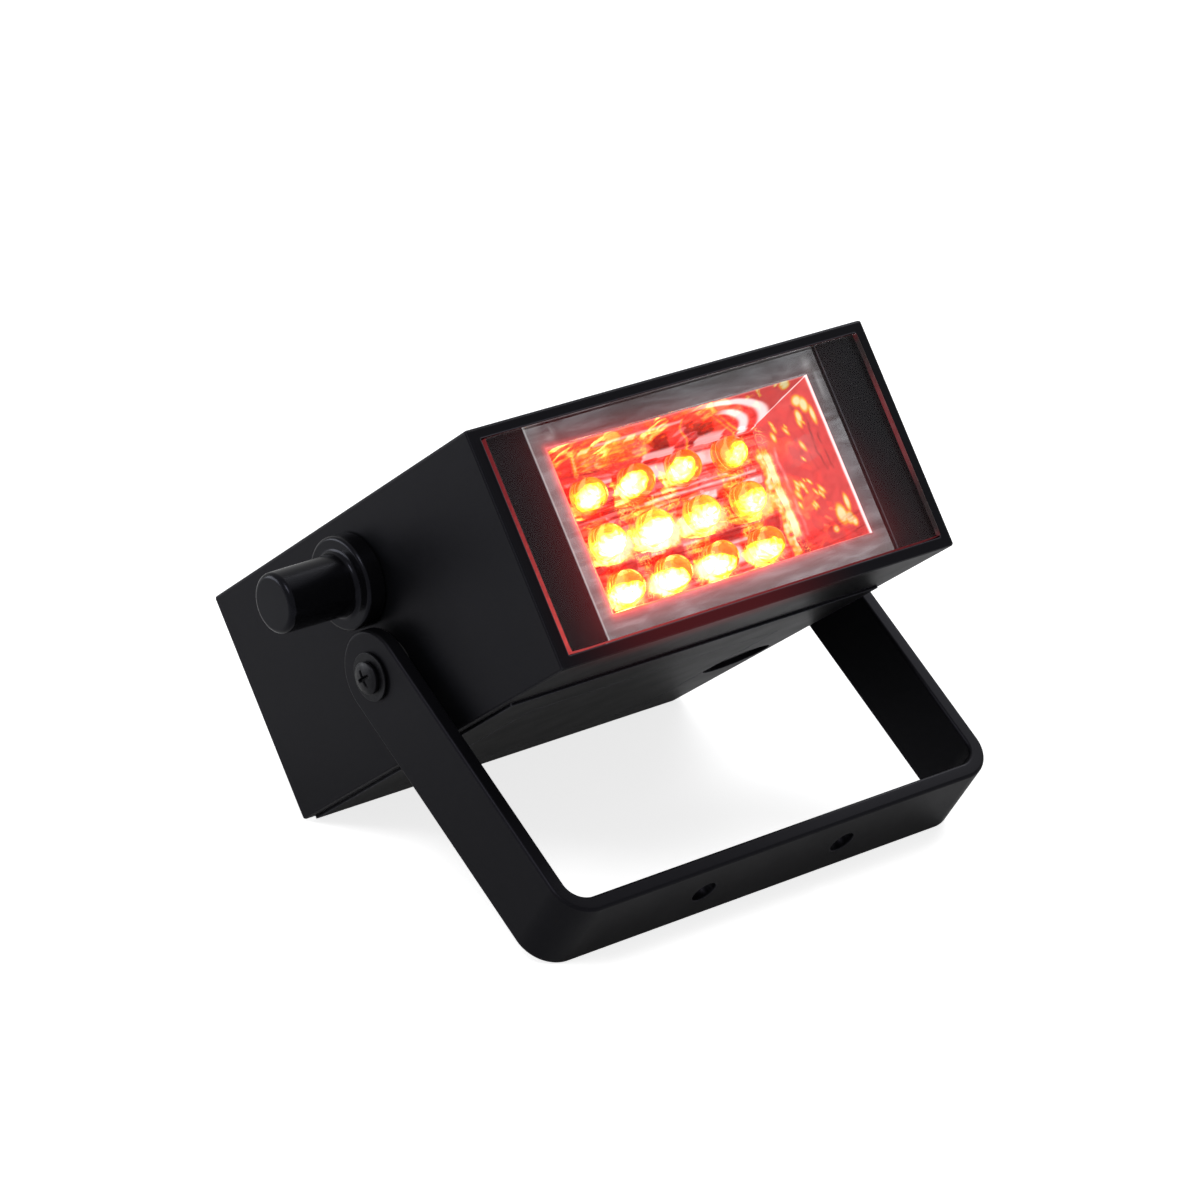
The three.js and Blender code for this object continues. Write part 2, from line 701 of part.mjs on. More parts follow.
function contacts() {
  return contactPlan().map(({ name, end, cells: touched, spring }) => {
    const back = end === 'front' ? bayFront + clearance + contactThickness : bayRear - clearance;
    const span = touched.map(cellX);
    const plate = block(
      [Math.min(...span) - contactWidth / 2, back - contactThickness, cellAxisZ - contactHeight / 2],
      [Math.max(...span) + contactWidth / 2, back, cellAxisZ + contactHeight / 2]);
    const pieces = [plate];
    if (spring !== null) {
      pieces.push(coil(cellX(spring), back - contactThickness / 2, end === 'front' ? 1 : -1));
    }
    if (touched.length === 1) {
      pieces.push(block(
        [span[0] - solderTabWidth / 2, back - contactThickness, cellAxisZ],
        [span[0] + solderTabWidth / 2, back, bayRoof + solderTabRise]));
    }
    return named(name, geometryOf(joined(pieces)), zincSteel);
  });
}

// A helical spring along Y that starts inside its plate
function coil(x, from, direction) {
  const reach = springLength + contactThickness / 2 - springWireRadius;
  const count = springTurns * springStepsPerTurn;
  const points = Array.from({ length: count + 1 }, (_, i) => {
    const angle = 2 * Math.PI * i / springStepsPerTurn;
    return [
      x + springRadius * Math.cos(angle),
      from + direction * reach * i / count,
      cellAxisZ + springRadius * Math.sin(angle)];
  });
  return solidOf(tubeAlong(points, polygon(springWireRadius, springSides), count));
}

function controlBoard() {
  const plate = block(
    [-controlBoardWidth / 2, controlBoardFront, controlBoardBottom],
    [controlBoardWidth / 2, controlBoardRear, controlBoardTop]);
  const holes = boardScrewPlaces.map((place) => bar('z', place, boardScrewRadius + clearance,
    controlBoardBottom - overrun, controlBoardTop + overrun, pinSides));
  return named('control_board', geometryOf(cut(plate, holes)), boardGreen);
}

function boardScrews() {
  const sizes = {
    radius: boardScrewRadius, length: boardScrewLength, headRadius: smallHeadRadius, headHeight: smallHeadHeight };
  return boardScrewPlaces.map((place, i) =>
    screw(`board_screw_${i + 1}`, 'z', place, controlBoardTop + clearance, 1, sizes, zincSteel));
}

// The parts that stand on the control board
function boardParts() {
  const foot = controlBoardTop + clearance;
  const middleY = (controlBoardFront + controlBoardRear) / 2;
  const quarter = controlBoardWidth / 4;
  const chip = block(
    [-chipLength / 2, middleY - chipWidth / 2, foot], [chipLength / 2, middleY + chipWidth / 2, foot + chipHeight]);
  const can = bar('z', [quarter, middleY], capacitorRadius, foot, foot + capacitorHeight, smallSides);
  const tab = block(
    [-quarter - transistorWidth / 2, middleY, foot],
    [transistorWidth / 2 - quarter, middleY + transistorDepth, foot + transistorHeight]);
  return [
    named('timer_ic', geometryOf(chip), chipBlack),
    named('timing_capacitor', geometryOf(can), cellJacket),
    named('drive_transistor', geometryOf(tab), chipBlack),
  ];
}

// Potentiometer: a round case inside the wall, with a threaded bush that stands out through it
function speedPot() {
  const caseFront = clearance - innerSide;
  const caseBody = bar('x', knobPlace, potRadius, caseFront, caseFront + potDepth, roundSides);
  const bush = bar('x', knobPlace, bushRadius, -sideFace - bushStandOut, caseFront + overrun, smallSides);
  const bore = bar('x', knobPlace, shaftRadius + clearance / 2, -sideFace - bushStandOut - overrun,
    caseFront + potDepth - 2 * overrun, smallSides);
  const tabs = [-1, 0, 1].map((step) => {
    const y = knobPlace[0] + step * potTabSpacing;
    return block(
      [caseFront + potDepth - potTabThickness, y - potTabWidth / 2, knobRise - potRadius - potTabLength],
      [caseFront + potDepth, y + potTabWidth / 2, knobRise]);
  });
  return named('speed_pot', geometryOf(cut(joined([caseBody, bush, ...tabs]), [bore])), zincSteel);
}

function potFasteners() {
  const washerOut = -sideFace - clearance - potWasherThickness;
  const nutIn = washerOut - clearance;
  const washer = ring('x', knobPlace, potWasherRadius, bushRadius + clearance / 2,
    washerOut, -sideFace - clearance, smallSides);
  const nutBar = bar('x', knobPlace, potNutRadius, nutIn - potNutThickness, nutIn, 6);
  const nutHole = bar('x', knobPlace, bushRadius + clearance / 2,
    nutIn - potNutThickness - overrun, nutIn + overrun, smallSides);
  return [
    named('pot_washer', geometryOf(washer), zincSteel),
    named('pot_nut', geometryOf(cut(nutBar, [nutHole])), zincSteel),
  ];
}

// The knob is turned about the shaft: its profile runs from the wall outwards, then back down its bore
const knobInner = clearance;
const skirtFace = knobInner + skirtThickness;
const hollowFloor = skirtFace - skirtWall;
const boreEnd = knobLength - knobCrown;

function knobProfile() {
  const base = knobRadius + knobFlare;
  return [
    [0, boreEnd],
    [shaftRadius + clearance / 2, boreEnd],
    [shaftRadius + clearance / 2, hollowFloor],
    [skirtHollowRadius, hollowFloor],
    [skirtHollowRadius, knobInner],
    [skirtRadius, knobInner],
    ...arc(skirtRadius - skirtEdge, skirtFace - skirtEdge, skirtEdge, 0, 90, arcSteps / 2),
    ...arc(base + skirtFillet, skirtFace + skirtFillet, skirtFillet, 270, 180, arcSteps / 2),
    ...arc(knobRadius - knobEdge, knobLength - knobEdge, knobEdge, 0, 90, arcSteps / 2),
    [0, knobLength],
  ];
}

function knob() {
  const geometry = turned(knobProfile(), roundSides);
  geometry.rotateZ(Math.PI / 2).translate(-sideFace, ...knobPlace);
  return named('knob', geometry, darkPlastic);
}

function potShaft() {
  const shaft = bar('x', knobPlace, shaftRadius, clearance - sideFace - boreEnd,
    2 * clearance - innerSide + potDepth - 2 * overrun - 2 * clearance, smallSides);
  return named('pot_shaft', geometryOf(shaft), zincSteel);
}

// Places along X of what the pivots stack, from the wall outwards
const armInner = sideFace + strapGap;
const armOuter = armInner + strapThickness;
const washerInner = armOuter + clearance;
const screwSeat = washerInner + pivotWasherThickness + clearance;
const nutOuter = innerSide - pivotBossLength + pivotNutThickness;

function pivotParts(side) {
  const word = side < 0 ? 'left' : 'right';
  const span = (a, b) => [side * a, side * b].sort((p, q) => p - q);
  const hole = pivotRadius + clearance;
  const outer = ring('x', pivotPlace, pivotWasherRadius, hole,
    ...span(washerInner, washerInner + pivotWasherThickness), roundSides);
  const friction = ring('x', pivotPlace, frictionWasherRadius, hole,
    ...span(sideFace + clearance, armInner - clearance), roundSides);
  const nutBar = bar('x', pivotPlace, pivotNutRadius, ...span(nutOuter - pivotNutThickness, nutOuter), 6);
  const nutHole = bar('x', pivotPlace, hole,
    ...span(nutOuter - pivotNutThickness - overrun, nutOuter + overrun), smallSides);
  const length = screwSeat - nutOuter + pivotNutThickness + pivotScrewTail;
  const sizes = {
    radius: pivotRadius, length, headRadius: pivotHeadRadius, headHeight: pivotHeadHeight, cross: crossLength };
  return [
    named(`pivot_washer_${word}`, geometryOf(outer), blackSteel),
    named(`friction_washer_${word}`, geometryOf(friction), rubberBlack),
    named(`pivot_nut_${word}`, geometryOf(cut(nutBar, [nutHole])), zincSteel),
    screw(`pivot_screw_${word}`, 'x', pivotPlace, side * screwSeat, side, sizes, blackSteel),
  ];
}

// The bracket in its own frame: the pivot at the origin, its arms down along -Z
function bracket() {
  const outerRadius = bracketInnerRadius + strapThickness;
  const rise = strapWidth / 2 + overrun;
  const barOuter = -bracketReach;
  const barInner = strapThickness - bracketReach;
  const shape = outline([
    [-armOuter, rise],
    ...arc(outerRadius - armOuter, barOuter + outerRadius, outerRadius, 180, 270, arcSteps),
    ...arc(armOuter - outerRadius, barOuter + outerRadius, outerRadius, 270, 360, arcSteps),
    [armOuter, rise],
    [armInner, rise],
    ...arc(armInner - bracketInnerRadius, barInner + bracketInnerRadius, bracketInnerRadius, 360, 270, arcSteps),
    ...arc(bracketInnerRadius - armInner, barInner + bracketInnerRadius, bracketInnerRadius, 270, 180, arcSteps),
    [-armInner, rise],
  ]);
  const strap = extrudedAlongY(shape, -strapWidth / 2, strapWidth / 2, strapEdge);
  const roundEnds = bar('x', [0, 0], strapWidth / 2, -armOuter - overrun, armOuter + overrun, roundSides);
  const below = block(
    [-armOuter - overrun, -strapWidth / 2, barOuter - overrun], [armOuter + overrun, strapWidth / 2, 0]);
  const pivotHole = bar('x', [0, 0], pivotRadius + clearance, -armOuter - overrun, armOuter + overrun, smallSides);
  const barHoles = [-1, 1].map((side) => bar('z', [side * barHoleSpacing / 2, 0], barHoleRadius,
    barOuter - overrun, barInner + overrun, smallSides));
  const solid = cut(strap.intersect(roundEnds.add(below)), [pivotHole, ...barHoles]);
  return named('bracket', geometryOf(solid), blackPlastic);
}

// The internal leads run in smooth curves between the boards, the contacts and the potentiometer
function leads() {
  const section = polygon(wireRadius, wireSides);
  const boardTop = controlBoardTop + clearance + wireRadius;
  const lampBack = lampBoardBack + clearance;
  const lift = controlBoardDepth / 6;
  const halfStep = lampPitchX / 2;
  const lampLead = (name, side, finish) => {
    const x = side * halfStep;
    const z = lampCentreZ + lampPitchZ / 2;
    const points = [
      [x, lampBack, z],
      [x, lampBack + lift / 2, z],
      [x, (lampBack + controlBoardFront) / 2, boardTop + lift],
      [x, controlBoardFront, boardTop + lift / 4],
      [x, controlBoardFront + lift, boardTop],
    ];
    return named(name, tubeAlong(points, section, arcSteps * 3), finish);
  };
  const powerLead = (name, index, finish) => {
    const { x, back } = outerContacts()[index];
    const top = bayRoof + solderTabRise + clearance + wireRadius;
    const end = Math.sign(x) * controlBoardWidth / 3;
    const points = [
      [x, back, top],
      [x, back - lift / 4, top + lift / 2],
      [(x + end) / 2, (back + controlBoardRear) / 2, boardTop + lift / 2],
      [end, controlBoardRear, boardTop + lift / 4],
      [end, controlBoardRear - lift, boardTop],
    ];
    return named(name, tubeAlong(points, section, arcSteps * 3), finish);
  };
  const tabX = clearance - innerSide + potDepth;
  const tabZ = knobRise - potRadius - potTabLength / 2;
  const ribbonSection = outline([
    [-ribbonWidth / 2, -ribbonThickness / 2], [ribbonWidth / 2, -ribbonThickness / 2],
    [ribbonWidth / 2, ribbonThickness / 2], [-ribbonWidth / 2, ribbonThickness / 2]]);
  const ribbonTop = controlBoardTop + clearance + ribbonThickness / 2;
  const ribbonPath = [
    [tabX + clearance, knobPlace[0], tabZ],
    [tabX + lift / 2, knobPlace[0], tabZ],
    [(tabX - controlBoardWidth / 2) / 2 + lift / 4, knobPlace[0], (tabZ + ribbonTop) / 2],
    [-controlBoardWidth / 2 + lift / 4, knobPlace[0], ribbonTop + lift / 8],
    [-controlBoardWidth / 2 + lift, knobPlace[0], ribbonTop],
  ];
  return [
    lampLead('lamp_lead_red', -1, wireRed),
    lampLead('lamp_lead_black', 1, wireBlack),
    powerLead('power_lead_red', 1, wireRed),
    powerLead('power_lead_black', 0, wireBlack),
    named('pot_ribbon', tubeAlong(ribbonPath, ribbonSection, arcSteps * 3), wireGrey),
  ];
}

const head = new THREE.Group();
head.add(
  housingShell(), frontWindow(), reflector(), ...lampPlaces().map(lamp), lampBoard(), ...lampScrews(),
  bottomCover(), ...coverScrews(), batteryDoor(), ...cells(), ...contacts(),
  controlBoard(), ...boardScrews(), ...boardParts(),
  speedPot(), ...potFasteners(), knob(), potShaft(), ...pivotParts(-1), ...pivotParts(1), ...leads());

// The bracket hangs from the pivots, its bar swung forward
const tilt = THREE.MathUtils.degToRad(bracketTilt);
const stirrup = new THREE.Group();
stirrup.position.set(0, ...pivotPlace);
stirrup.rotation.x = -tilt;
stirrup.add(bracket());

// The head leans back until the bar's rear edge and the cover's rear edge stand on one level
const cornerShare = Math.SQRT1_2;
const barEdgeBack = strapWidth / 2 - strapEdge + strapEdge * cornerShare;
const barEdgeDown = bracketReach - strapEdge + strapEdge * cornerShare;
const barFootY = pivotBack + barEdgeBack * Math.cos(tilt) - barEdgeDown * Math.sin(tilt);
const barFootZ = -pivotDrop - barEdgeBack * Math.sin(tilt) - barEdgeDown * Math.cos(tilt);
const lean = Math.atan2(coverBottom - barFootZ, coverRear - barFootY);
const leaning = new THREE.Group();
leaning.rotation.x = -lean;
leaning.add(head, stirrup);

// The whole part stands with the middle of its footprint box at the origin
const strobeLight = new THREE.Group();
strobeLight.add(leaning);
const bounds = new THREE.Box3().setFromObject(strobeLight, true);
leaning.position.set(
  -(bounds.min.x + bounds.max.x) / 2, -(bounds.min.y + bounds.max.y) / 2, -bounds.min.z);

export default strobeLight;
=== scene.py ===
# Small battery strobe light: the look of every visible piece, and the studio that it stands in.
# The file is laid out as an add-on. Its panel lists one operator for each piece or group of like pieces.
# Sizes are in metres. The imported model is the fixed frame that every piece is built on.
import json
import math

import bmesh
import bpy
import numpy as np
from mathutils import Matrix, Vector


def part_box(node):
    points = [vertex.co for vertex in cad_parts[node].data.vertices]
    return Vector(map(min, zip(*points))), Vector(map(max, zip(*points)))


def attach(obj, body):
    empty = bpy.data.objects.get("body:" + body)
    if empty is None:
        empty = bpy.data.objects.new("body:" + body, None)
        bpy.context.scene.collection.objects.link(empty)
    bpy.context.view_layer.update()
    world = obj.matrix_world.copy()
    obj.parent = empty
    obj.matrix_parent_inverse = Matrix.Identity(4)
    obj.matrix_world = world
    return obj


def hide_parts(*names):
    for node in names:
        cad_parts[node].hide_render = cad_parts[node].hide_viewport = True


bl_info = {
    "name": "Strobe Light",
    "version": (1, 0, 0),
    "blender": (4, 5, 0),
    "location": "3D View > Sidebar > Strobe Light",
    "description": "Makes the visible pieces, the finishes and the studio of a small strobe light",
    "category": "Object",
}

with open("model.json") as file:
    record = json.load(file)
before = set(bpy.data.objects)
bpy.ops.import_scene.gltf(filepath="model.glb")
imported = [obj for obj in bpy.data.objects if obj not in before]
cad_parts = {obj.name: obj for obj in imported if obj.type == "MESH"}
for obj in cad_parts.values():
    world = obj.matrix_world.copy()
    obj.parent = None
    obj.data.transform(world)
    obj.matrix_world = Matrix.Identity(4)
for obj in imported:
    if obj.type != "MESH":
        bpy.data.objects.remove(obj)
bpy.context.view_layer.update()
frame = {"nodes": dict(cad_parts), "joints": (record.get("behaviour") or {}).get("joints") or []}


def joint_named(name):
    """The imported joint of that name."""
    return next(joint for joint in frame["joints"] if joint["name"] == name)


def turned_axes(angle):
    """Three axes as columns, turned back about X by an angle: y becomes (cos, -sin) and z (sin, cos)."""
    c, s = math.cos(angle), math.sin(angle)
    return np.array([[1, 0, 0], [0, c, s], [0, -s, c]])


# The head's own frame: its origin is the middle of the front face, +Y runs to the rear and +Z up.
# The door's hinge lies along the head's Y axis, so it gives the head's lean.
HINGE = np.array(joint_named("battery_door_swing")["axis"])
LEAN = math.atan2(-HINGE[2], HINGE[1])
HEAD_AXES = turned_axes(LEAN)
PIVOT = np.array(joint_named("head_tilt")["pos_m"])
PIVOT_IN_HEAD = np.array([0, 0.0598, -0.009])
HEAD_ORIGIN = PIVOT - HEAD_AXES @ PIVOT_IN_HEAD
CLEARANCE = 0.0003
HEAD_HALF_WIDTH = 0.06


def linear(colour):
    """An sRGB hex colour as linear red, green, blue and alpha.

    A dark value c becomes c/12.92, any other ((c + 0.055)/1.055)^2.4.
    """
    c = np.array([int(colour[i:i + 2], 16) for i in (1, 3, 5)]) / 255
    return (*np.where(c <= 0.04045, c / 12.92, ((c + 0.055) / 1.055) ** 2.4).tolist(), 1.0)


def length(name, default, about):
    """A setting in metres."""
    return bpy.props.FloatProperty(name=name, description=about, unit="LENGTH", default=default, precision=5)


def amount(name, default, about):
    """A setting without a unit, from 0 up."""
    return bpy.props.FloatProperty(name=name, description=about, default=default, min=0)


def tint(name, default, about):
    """A setting that is a colour."""
    return bpy.props.FloatVectorProperty(
        name=name, description=about, subtype="COLOR", size=3, min=0, max=1, default=linear(default)[:3])


class HousingSizes(bpy.types.PropertyGroup):
    colour: tint("Plastic colour", "#0a0a0c", "Colour of the moulded housing and bracket")
    roughness: amount("Roughness", 0.38, "How satin the moulded plastic is")
    grain: length("Grain size", 0.0004, "Width of one grain of the moulded texture")


class KnobSizes(bpy.types.PropertyGroup):
    rise: length("Rise", 0.0136, "Height of the knob's axis above the middle of the head")
    length: length("Length", 0.0244, "How far the knob stands out from the wall")
    radius: length("Radius", 0.0072, "Radius of the grip at its end")
    flare: length("Flare", 0.0002, "How much wider the grip is at its root")
    skirt_radius: length("Skirt radius", 0.0112, "Radius of the round skirt")
    skirt_thickness: length("Skirt thickness", 0.005, "Thickness of the skirt")
    colour: tint("Knob colour", "#0a0a0c", "Colour of the knob")


class BracketSizes(bpy.types.PropertyGroup):
    tilt: bpy.props.FloatProperty(
        name="Tilt", description="Angle between the arms and the head", subtype="ANGLE",
        default=math.radians(19.6))
    width: length("Strap width", 0.0215, "Width of the strap")
    thickness: length("Strap thickness", 0.0039, "Thickness of the strap")
    edge: length("Edge radius", 0.0008, "Rounding of the strap's edges")
    reach: length("Reach", 0.0787, "From the pivots to the outer face of the bar")
    half_span: length("Half span", 0.0663, "From the middle to the outer face of an arm")
    bend: length("Bend radius", 0.0051, "Inner radius of the two bends")
    hole: length("Hole radius", 0.00325, "Radius of the two holes in the bar")
    hole_spacing: length("Hole spacing", 0.043, "Between the middles of the two holes")
    pivot_hole: length("Pivot hole radius", 0.0023, "Radius of the hole in each arm")


class FastenerSizes(bpy.types.PropertyGroup):
    head: length("Pivot head radius", 0.0039, "Radius of the pivot screw's head")
    head_height: length("Pivot head height", 0.0016, "Height of the pivot screw's head")
    shank: length("Pivot shank radius", 0.002, "Radius of the pivot screw")
    washer: length("Washer radius", 0.0058, "Radius of the washer under the head")
    washer_thickness: length("Washer thickness", 0.0006, "Thickness of that washer")


class LampSizes(bpy.types.PropertyGroup):
    radius: length("Lens radius", 0.004, "Radius of one lamp's lens")
    stand_out: length("Stand-out", 0.006, "How far a lens stands out of the reflector's floor")
    pitch_across: length("Pitch across", 0.0143, "Between two lamps of a row")
    pitch_up: length("Pitch up", 0.0114, "Between two rows")
    middle: length("Middle height", -0.0016, "Height of the middle row in the head")
    brightness: amount("Brightness", 9.5, "Strength of the lit lamps")


class ReflectorSizes(bpy.types.PropertyGroup):
    ripple: length("Ripple", 0.00012, "Height of the waves in the metallised walls")
    cup: length("Cup depth", 0.0011, "How deep each lamp sits in its round cup")
    # The lamp light on the plating is painted, as a glow
    haze: amount("Lamp haze", 1.0, "Strength of the lamp light that the plating scatters")


class PaneSizes(bpy.types.PropertyGroup):
    thickness: length("Thickness", 0.003, "Thickness of the acrylic pane")
    proud: length("Proud", 0.001, "How far the pane stands out of the rim")
    edge_glow: amount("Edge glow", 1.0, "Strength of the light in the pane's sawn edges")


class StageSizes(bpy.types.PropertyGroup):
    floor: length("Floor size", 12.0, "Side of the pale floor")
    daylight: amount("Room light", 0.3, "Strength of the soft light from all sides")
    camera_place: bpy.props.FloatVectorProperty(
        name="Camera place", description="Where the camera stands", subtype="TRANSLATION", unit="LENGTH",
        size=3, default=(-0.7436321, -0.86281482, 0.53994469))
    camera_turn: bpy.props.FloatVectorProperty(
        name="Camera turn", description="The camera's rotation", subtype="EULER", size=3,
        default=tuple(math.radians(a) for a in (66.97140156, -1.36731879, -40.50532727)))
    camera_lens: amount("Focal length", 157.97, "Focal length in millimetres on a 36 mm sensor")


def feed(node, inputs):
    """Sets inputs of a node to values, or links them where a value is the output of another node."""
    for name, value in inputs.items():
        if isinstance(value, bpy.types.NodeSocket):
            node.id_data.links.new(value, node.inputs[name])
        else:
            node.inputs[name].default_value = value


def add_node(tree, kind, inputs=None, output=None, **settings):
    """Adds one node to a tree, with its settings and inputs. Returns the node or its named output."""
    node = tree.nodes.new(kind)
    for name, value in settings.items():
        setattr(node, name, value)
    feed(node, inputs or {})
    return node.outputs[output] if output else node


def set_stops(ramp, stops):
    """Gives a colour ramp its stops, as (place, colour) pairs, and returns its output."""
    elements = ramp.color_ramp.elements
    while len(elements) < len(stops):
        elements.new(0.5)
    for element, (place, colour) in zip(elements, stops):
        element.position = place
        element.color = linear(colour) if isinstance(colour, str) else colour
    return ramp.outputs["Color"]


def new_finish(name, values):
    """A new material with one principled shader. Returns it, its tree, its shader and its coordinates."""
    finish = bpy.data.materials.new(name)
    finish.use_nodes = True
    tree = finish.node_tree
    shader = tree.nodes["Principled BSDF"]
    feed(shader, values)
    return finish, tree, shader, add_node(tree, "ShaderNodeTexCoord", None, "Object")


def mottled(tree, place, colour, darker, lighter, size):
    """A colour that varies between two shades by a soft noise whose blotches are about a size across."""
    noise = add_node(tree, "ShaderNodeTexNoise", {"Scale": 1 / size, "Detail": 4.0, "Vector": place}, "Fac")
    base = np.array(colour[:3])
    return set_stops(add_node(tree, "ShaderNodeValToRGB", {"Fac": noise}), [
        (0.3, (*(base * darker), 1)), (0.7, (*(base * lighter), 1))])


def uneven(tree, place, low, high, size):
    """A roughness that varies between two values by a noise whose patches are about a size across."""
    noise = add_node(tree, "ShaderNodeTexNoise", {"Scale": 1 / size, "Detail": 3.0, "Vector": place}, "Fac")
    return add_node(tree, "ShaderNodeMapRange", {
        "Value": noise, "From Min": 0.3, "From Max": 0.7, "To Min": low, "To Max": high}, "Result")


def bumped(tree, place, *layers):
    """A normal bumped by layers of noise, each given as (size across, height)."""
    normal = None
    for size, height in layers:
        noise = add_node(tree, "ShaderNodeTexNoise", {
            "Scale": 1 / size, "Detail": 2.0, "Vector": place}, "Fac")
        bump = add_node(tree, "ShaderNodeBump", {"Strength": 1.0, "Distance": height, "Height": noise})
        if normal is not None:
            feed(bump, {"Normal": normal})
        normal = bump.outputs["Normal"]
    return normal


# The insulation of every wire: extruded PVC, smooth and slightly waxy
WIRE = ((0.9, 1.08, 0.003), (0.35, 0.48, 0.002), [(0.001, 0.000006)], {"IOR": 1.53})

# Finishes that differ only in their numbers: the colour, its darker and lighter shade and the width of the
# blotches, the lowest and highest roughness and the width of its patches, the bumps and the shader's values
PLAIN_FINISHES = {
    # Injection-moulded ABS from a polished mould: smoother and a little darker than the housing
    "polished_moulded_abs": (
        None, (0.9, 1.1, 0.006), (0.2, 0.26, 0.004), [(0.01, 0.00002)],
        {"IOR": 1.53, "Specular IOR Level": 0.13, "Specular Tint": linear("#e4e6ff")}),
    # Carbon steel with black oxide: dark, half dull, with a faint blue and small bright rubs
    "black_oxide_steel": (
        "#141418", (0.7, 1.3, 0.0012), (0.3, 0.48, 0.0008), [(0.0005, 0.000006)],
        {"Metallic": 0.6, "Specular IOR Level": 0.3}),
    # Tinned steel lead wire: pale grey, half bright
    "tinned_lead": ("#b9bbbd", (0.85, 1.05, 0.0008), (0.2, 0.35, 0.0006), [], {"Metallic": 1.0}),
    # Zinc-plated steel: light grey with a faint cool cast, half bright
    "zinc_plated_steel": (
        "#a9acb2", (0.8, 1.1, 0.001), (0.25, 0.42, 0.0012), [(0.0004, 0.000004)], {"Metallic": 1.0}),
    # Moulded epoxy of a chip or a transistor: black, matt and finely gritty
    "moulded_chip_epoxy": (
        "#15161a", (0.8, 1.25, 0.0006), (0.55, 0.72, 0.001), [(0.0003, 0.00001)], {"IOR": 1.55}),
    # Shrunk PVC film of a cell or a capacitor: deep blue, glossy, with soft wrinkles
    "shrunk_pvc_film": (
        "#1f4e86", (0.92, 1.06, 0.004), (0.2, 0.3, 0.002), [(0.006, 0.00006), (0.0008, 0.000006)],
        {"IOR": 1.53}),
    # Nickel-plated steel of cell ends and contacts: warm bright grey with fine rubs
    "nickel_plated_steel": (
        "#c9c5bb", (0.85, 1.08, 0.002), (0.16, 0.34, 0.0009), [(0.0004, 0.000003)], {"Metallic": 1.0}),
    # Nitrile rubber of the friction pads: dead black and dull
    "nitrile_rubber": (
        "#141415", (0.85, 1.2, 0.002), (0.75, 0.92, 0.001), [(0.0005, 0.00002)], {"IOR": 1.52}),
    "pvc_wire_red": ("#a81e1e", *WIRE),
    "pvc_wire_black": ("#161617", *WIRE),
    "pvc_ribbon_grey": ("#8b8e92", *WIRE),
}


def plain_finish(name, own_colour=None):
    """A finish of the table above, made once, in the table's colour or its own."""
    if name not in bpy.data.materials:
        colour, shades, rough, bumps, values = PLAIN_FINISHES[name]
        _, tree, shader, place = new_finish(name, values)
        feed(shader, {"Base Color": mottled(tree, place, own_colour or linear(colour), *shades),
                      "Roughness": uneven(tree, place, *rough)})
        if bumps:
            feed(shader, {"Normal": bumped(tree, place, *bumps)})
    return bpy.data.materials[name]


def satin_abs(name="satin_moulded_abs", lit=False):
    """Injection-moulded ABS, black, from a spark-eroded mould: even satin, with a faint cloudiness.

    lit adds the red lamp light that spills onto the rim: it falls off with distance from the window's
    lower left and with depth behind the front.
    """
    s = bpy.context.scene.strobe_housing
    finish, tree, shader, place = new_finish(name, {
        "IOR": 1.53, "Specular IOR Level": 0.1, "Specular Tint": linear("#e7e4ff")})
    # Outer edges are painted paler, a painted highlight along them: rays sent inwards find them, as half of
    # those leave the solid again
    solid = add_node(tree, "ShaderNodeAmbientOcclusion", {"Distance": 0.0004}, "AO",
                     inside=True, only_local=True, samples=8)
    edge_highlight = add_node(tree, "ShaderNodeMapRange", {
        "Value": solid, "From Min": 0.9, "From Max": 0.5, "To Min": 0.0, "To Max": 1.0}, "Result")
    base = mottled(tree, place, tuple(s.colour), 0.9, 1.1, 0.018)
    # The mould's real grain is about 0.1 mm, drawn coarser here so that it shows at all
    feed(shader, {
        "Base Color": add_node(tree, "ShaderNodeMix", {
            "Factor": edge_highlight, "A": base, "B": linear("#5c5c63")}, "Result", data_type="RGBA"),
        "Roughness": uneven(tree, place, s.roughness - 0.02, s.roughness + 0.03, 0.012),
        "Normal": bumped(tree, place, (0.03, 0.00002), (s.grain, 0.000004))})
    if lit:
        centre = tuple(HEAD_AXES @ np.array([-0.014, -0.004, -0.022]) + HEAD_ORIGIN)
        away = add_node(tree, "ShaderNodeVectorMath", {0: place, 1: centre}, "Value", operation="DISTANCE")
        spill = add_node(tree, "ShaderNodeMapRange", {
            "Value": away, "From Min": 0.008, "From Max": 0.05, "To Min": 1.0, "To Max": 0.0}, "Result",
            interpolation_type="SMOOTHERSTEP")
        front = HEAD_ORIGIN @ HEAD_AXES[:, 1]
        depth = add_node(tree, "ShaderNodeVectorMath", {0: place, 1: tuple(HEAD_AXES[:, 1])}, "Value",
                         operation="DOT_PRODUCT")
        fade = add_node(tree, "ShaderNodeMapRange", {
            "Value": depth, "From Min": front, "From Max": front + 0.013, "To Min": 1.0, "To Max": 0.08},
            "Result", interpolation_type="SMOOTHERSTEP")
        level = add_node(tree, "ShaderNodeMath", {0: spill, 1: fade}, "Value", operation="MULTIPLY")
        feed(shader, {
            "Emission Color": add_node(tree, "ShaderNodeMix", {
                "Factor": level, "A": linear("#000000"), "B": linear("#5a0f12")}, "Result", data_type="RGBA"),
            "Emission Strength": 0.55})
    return finish


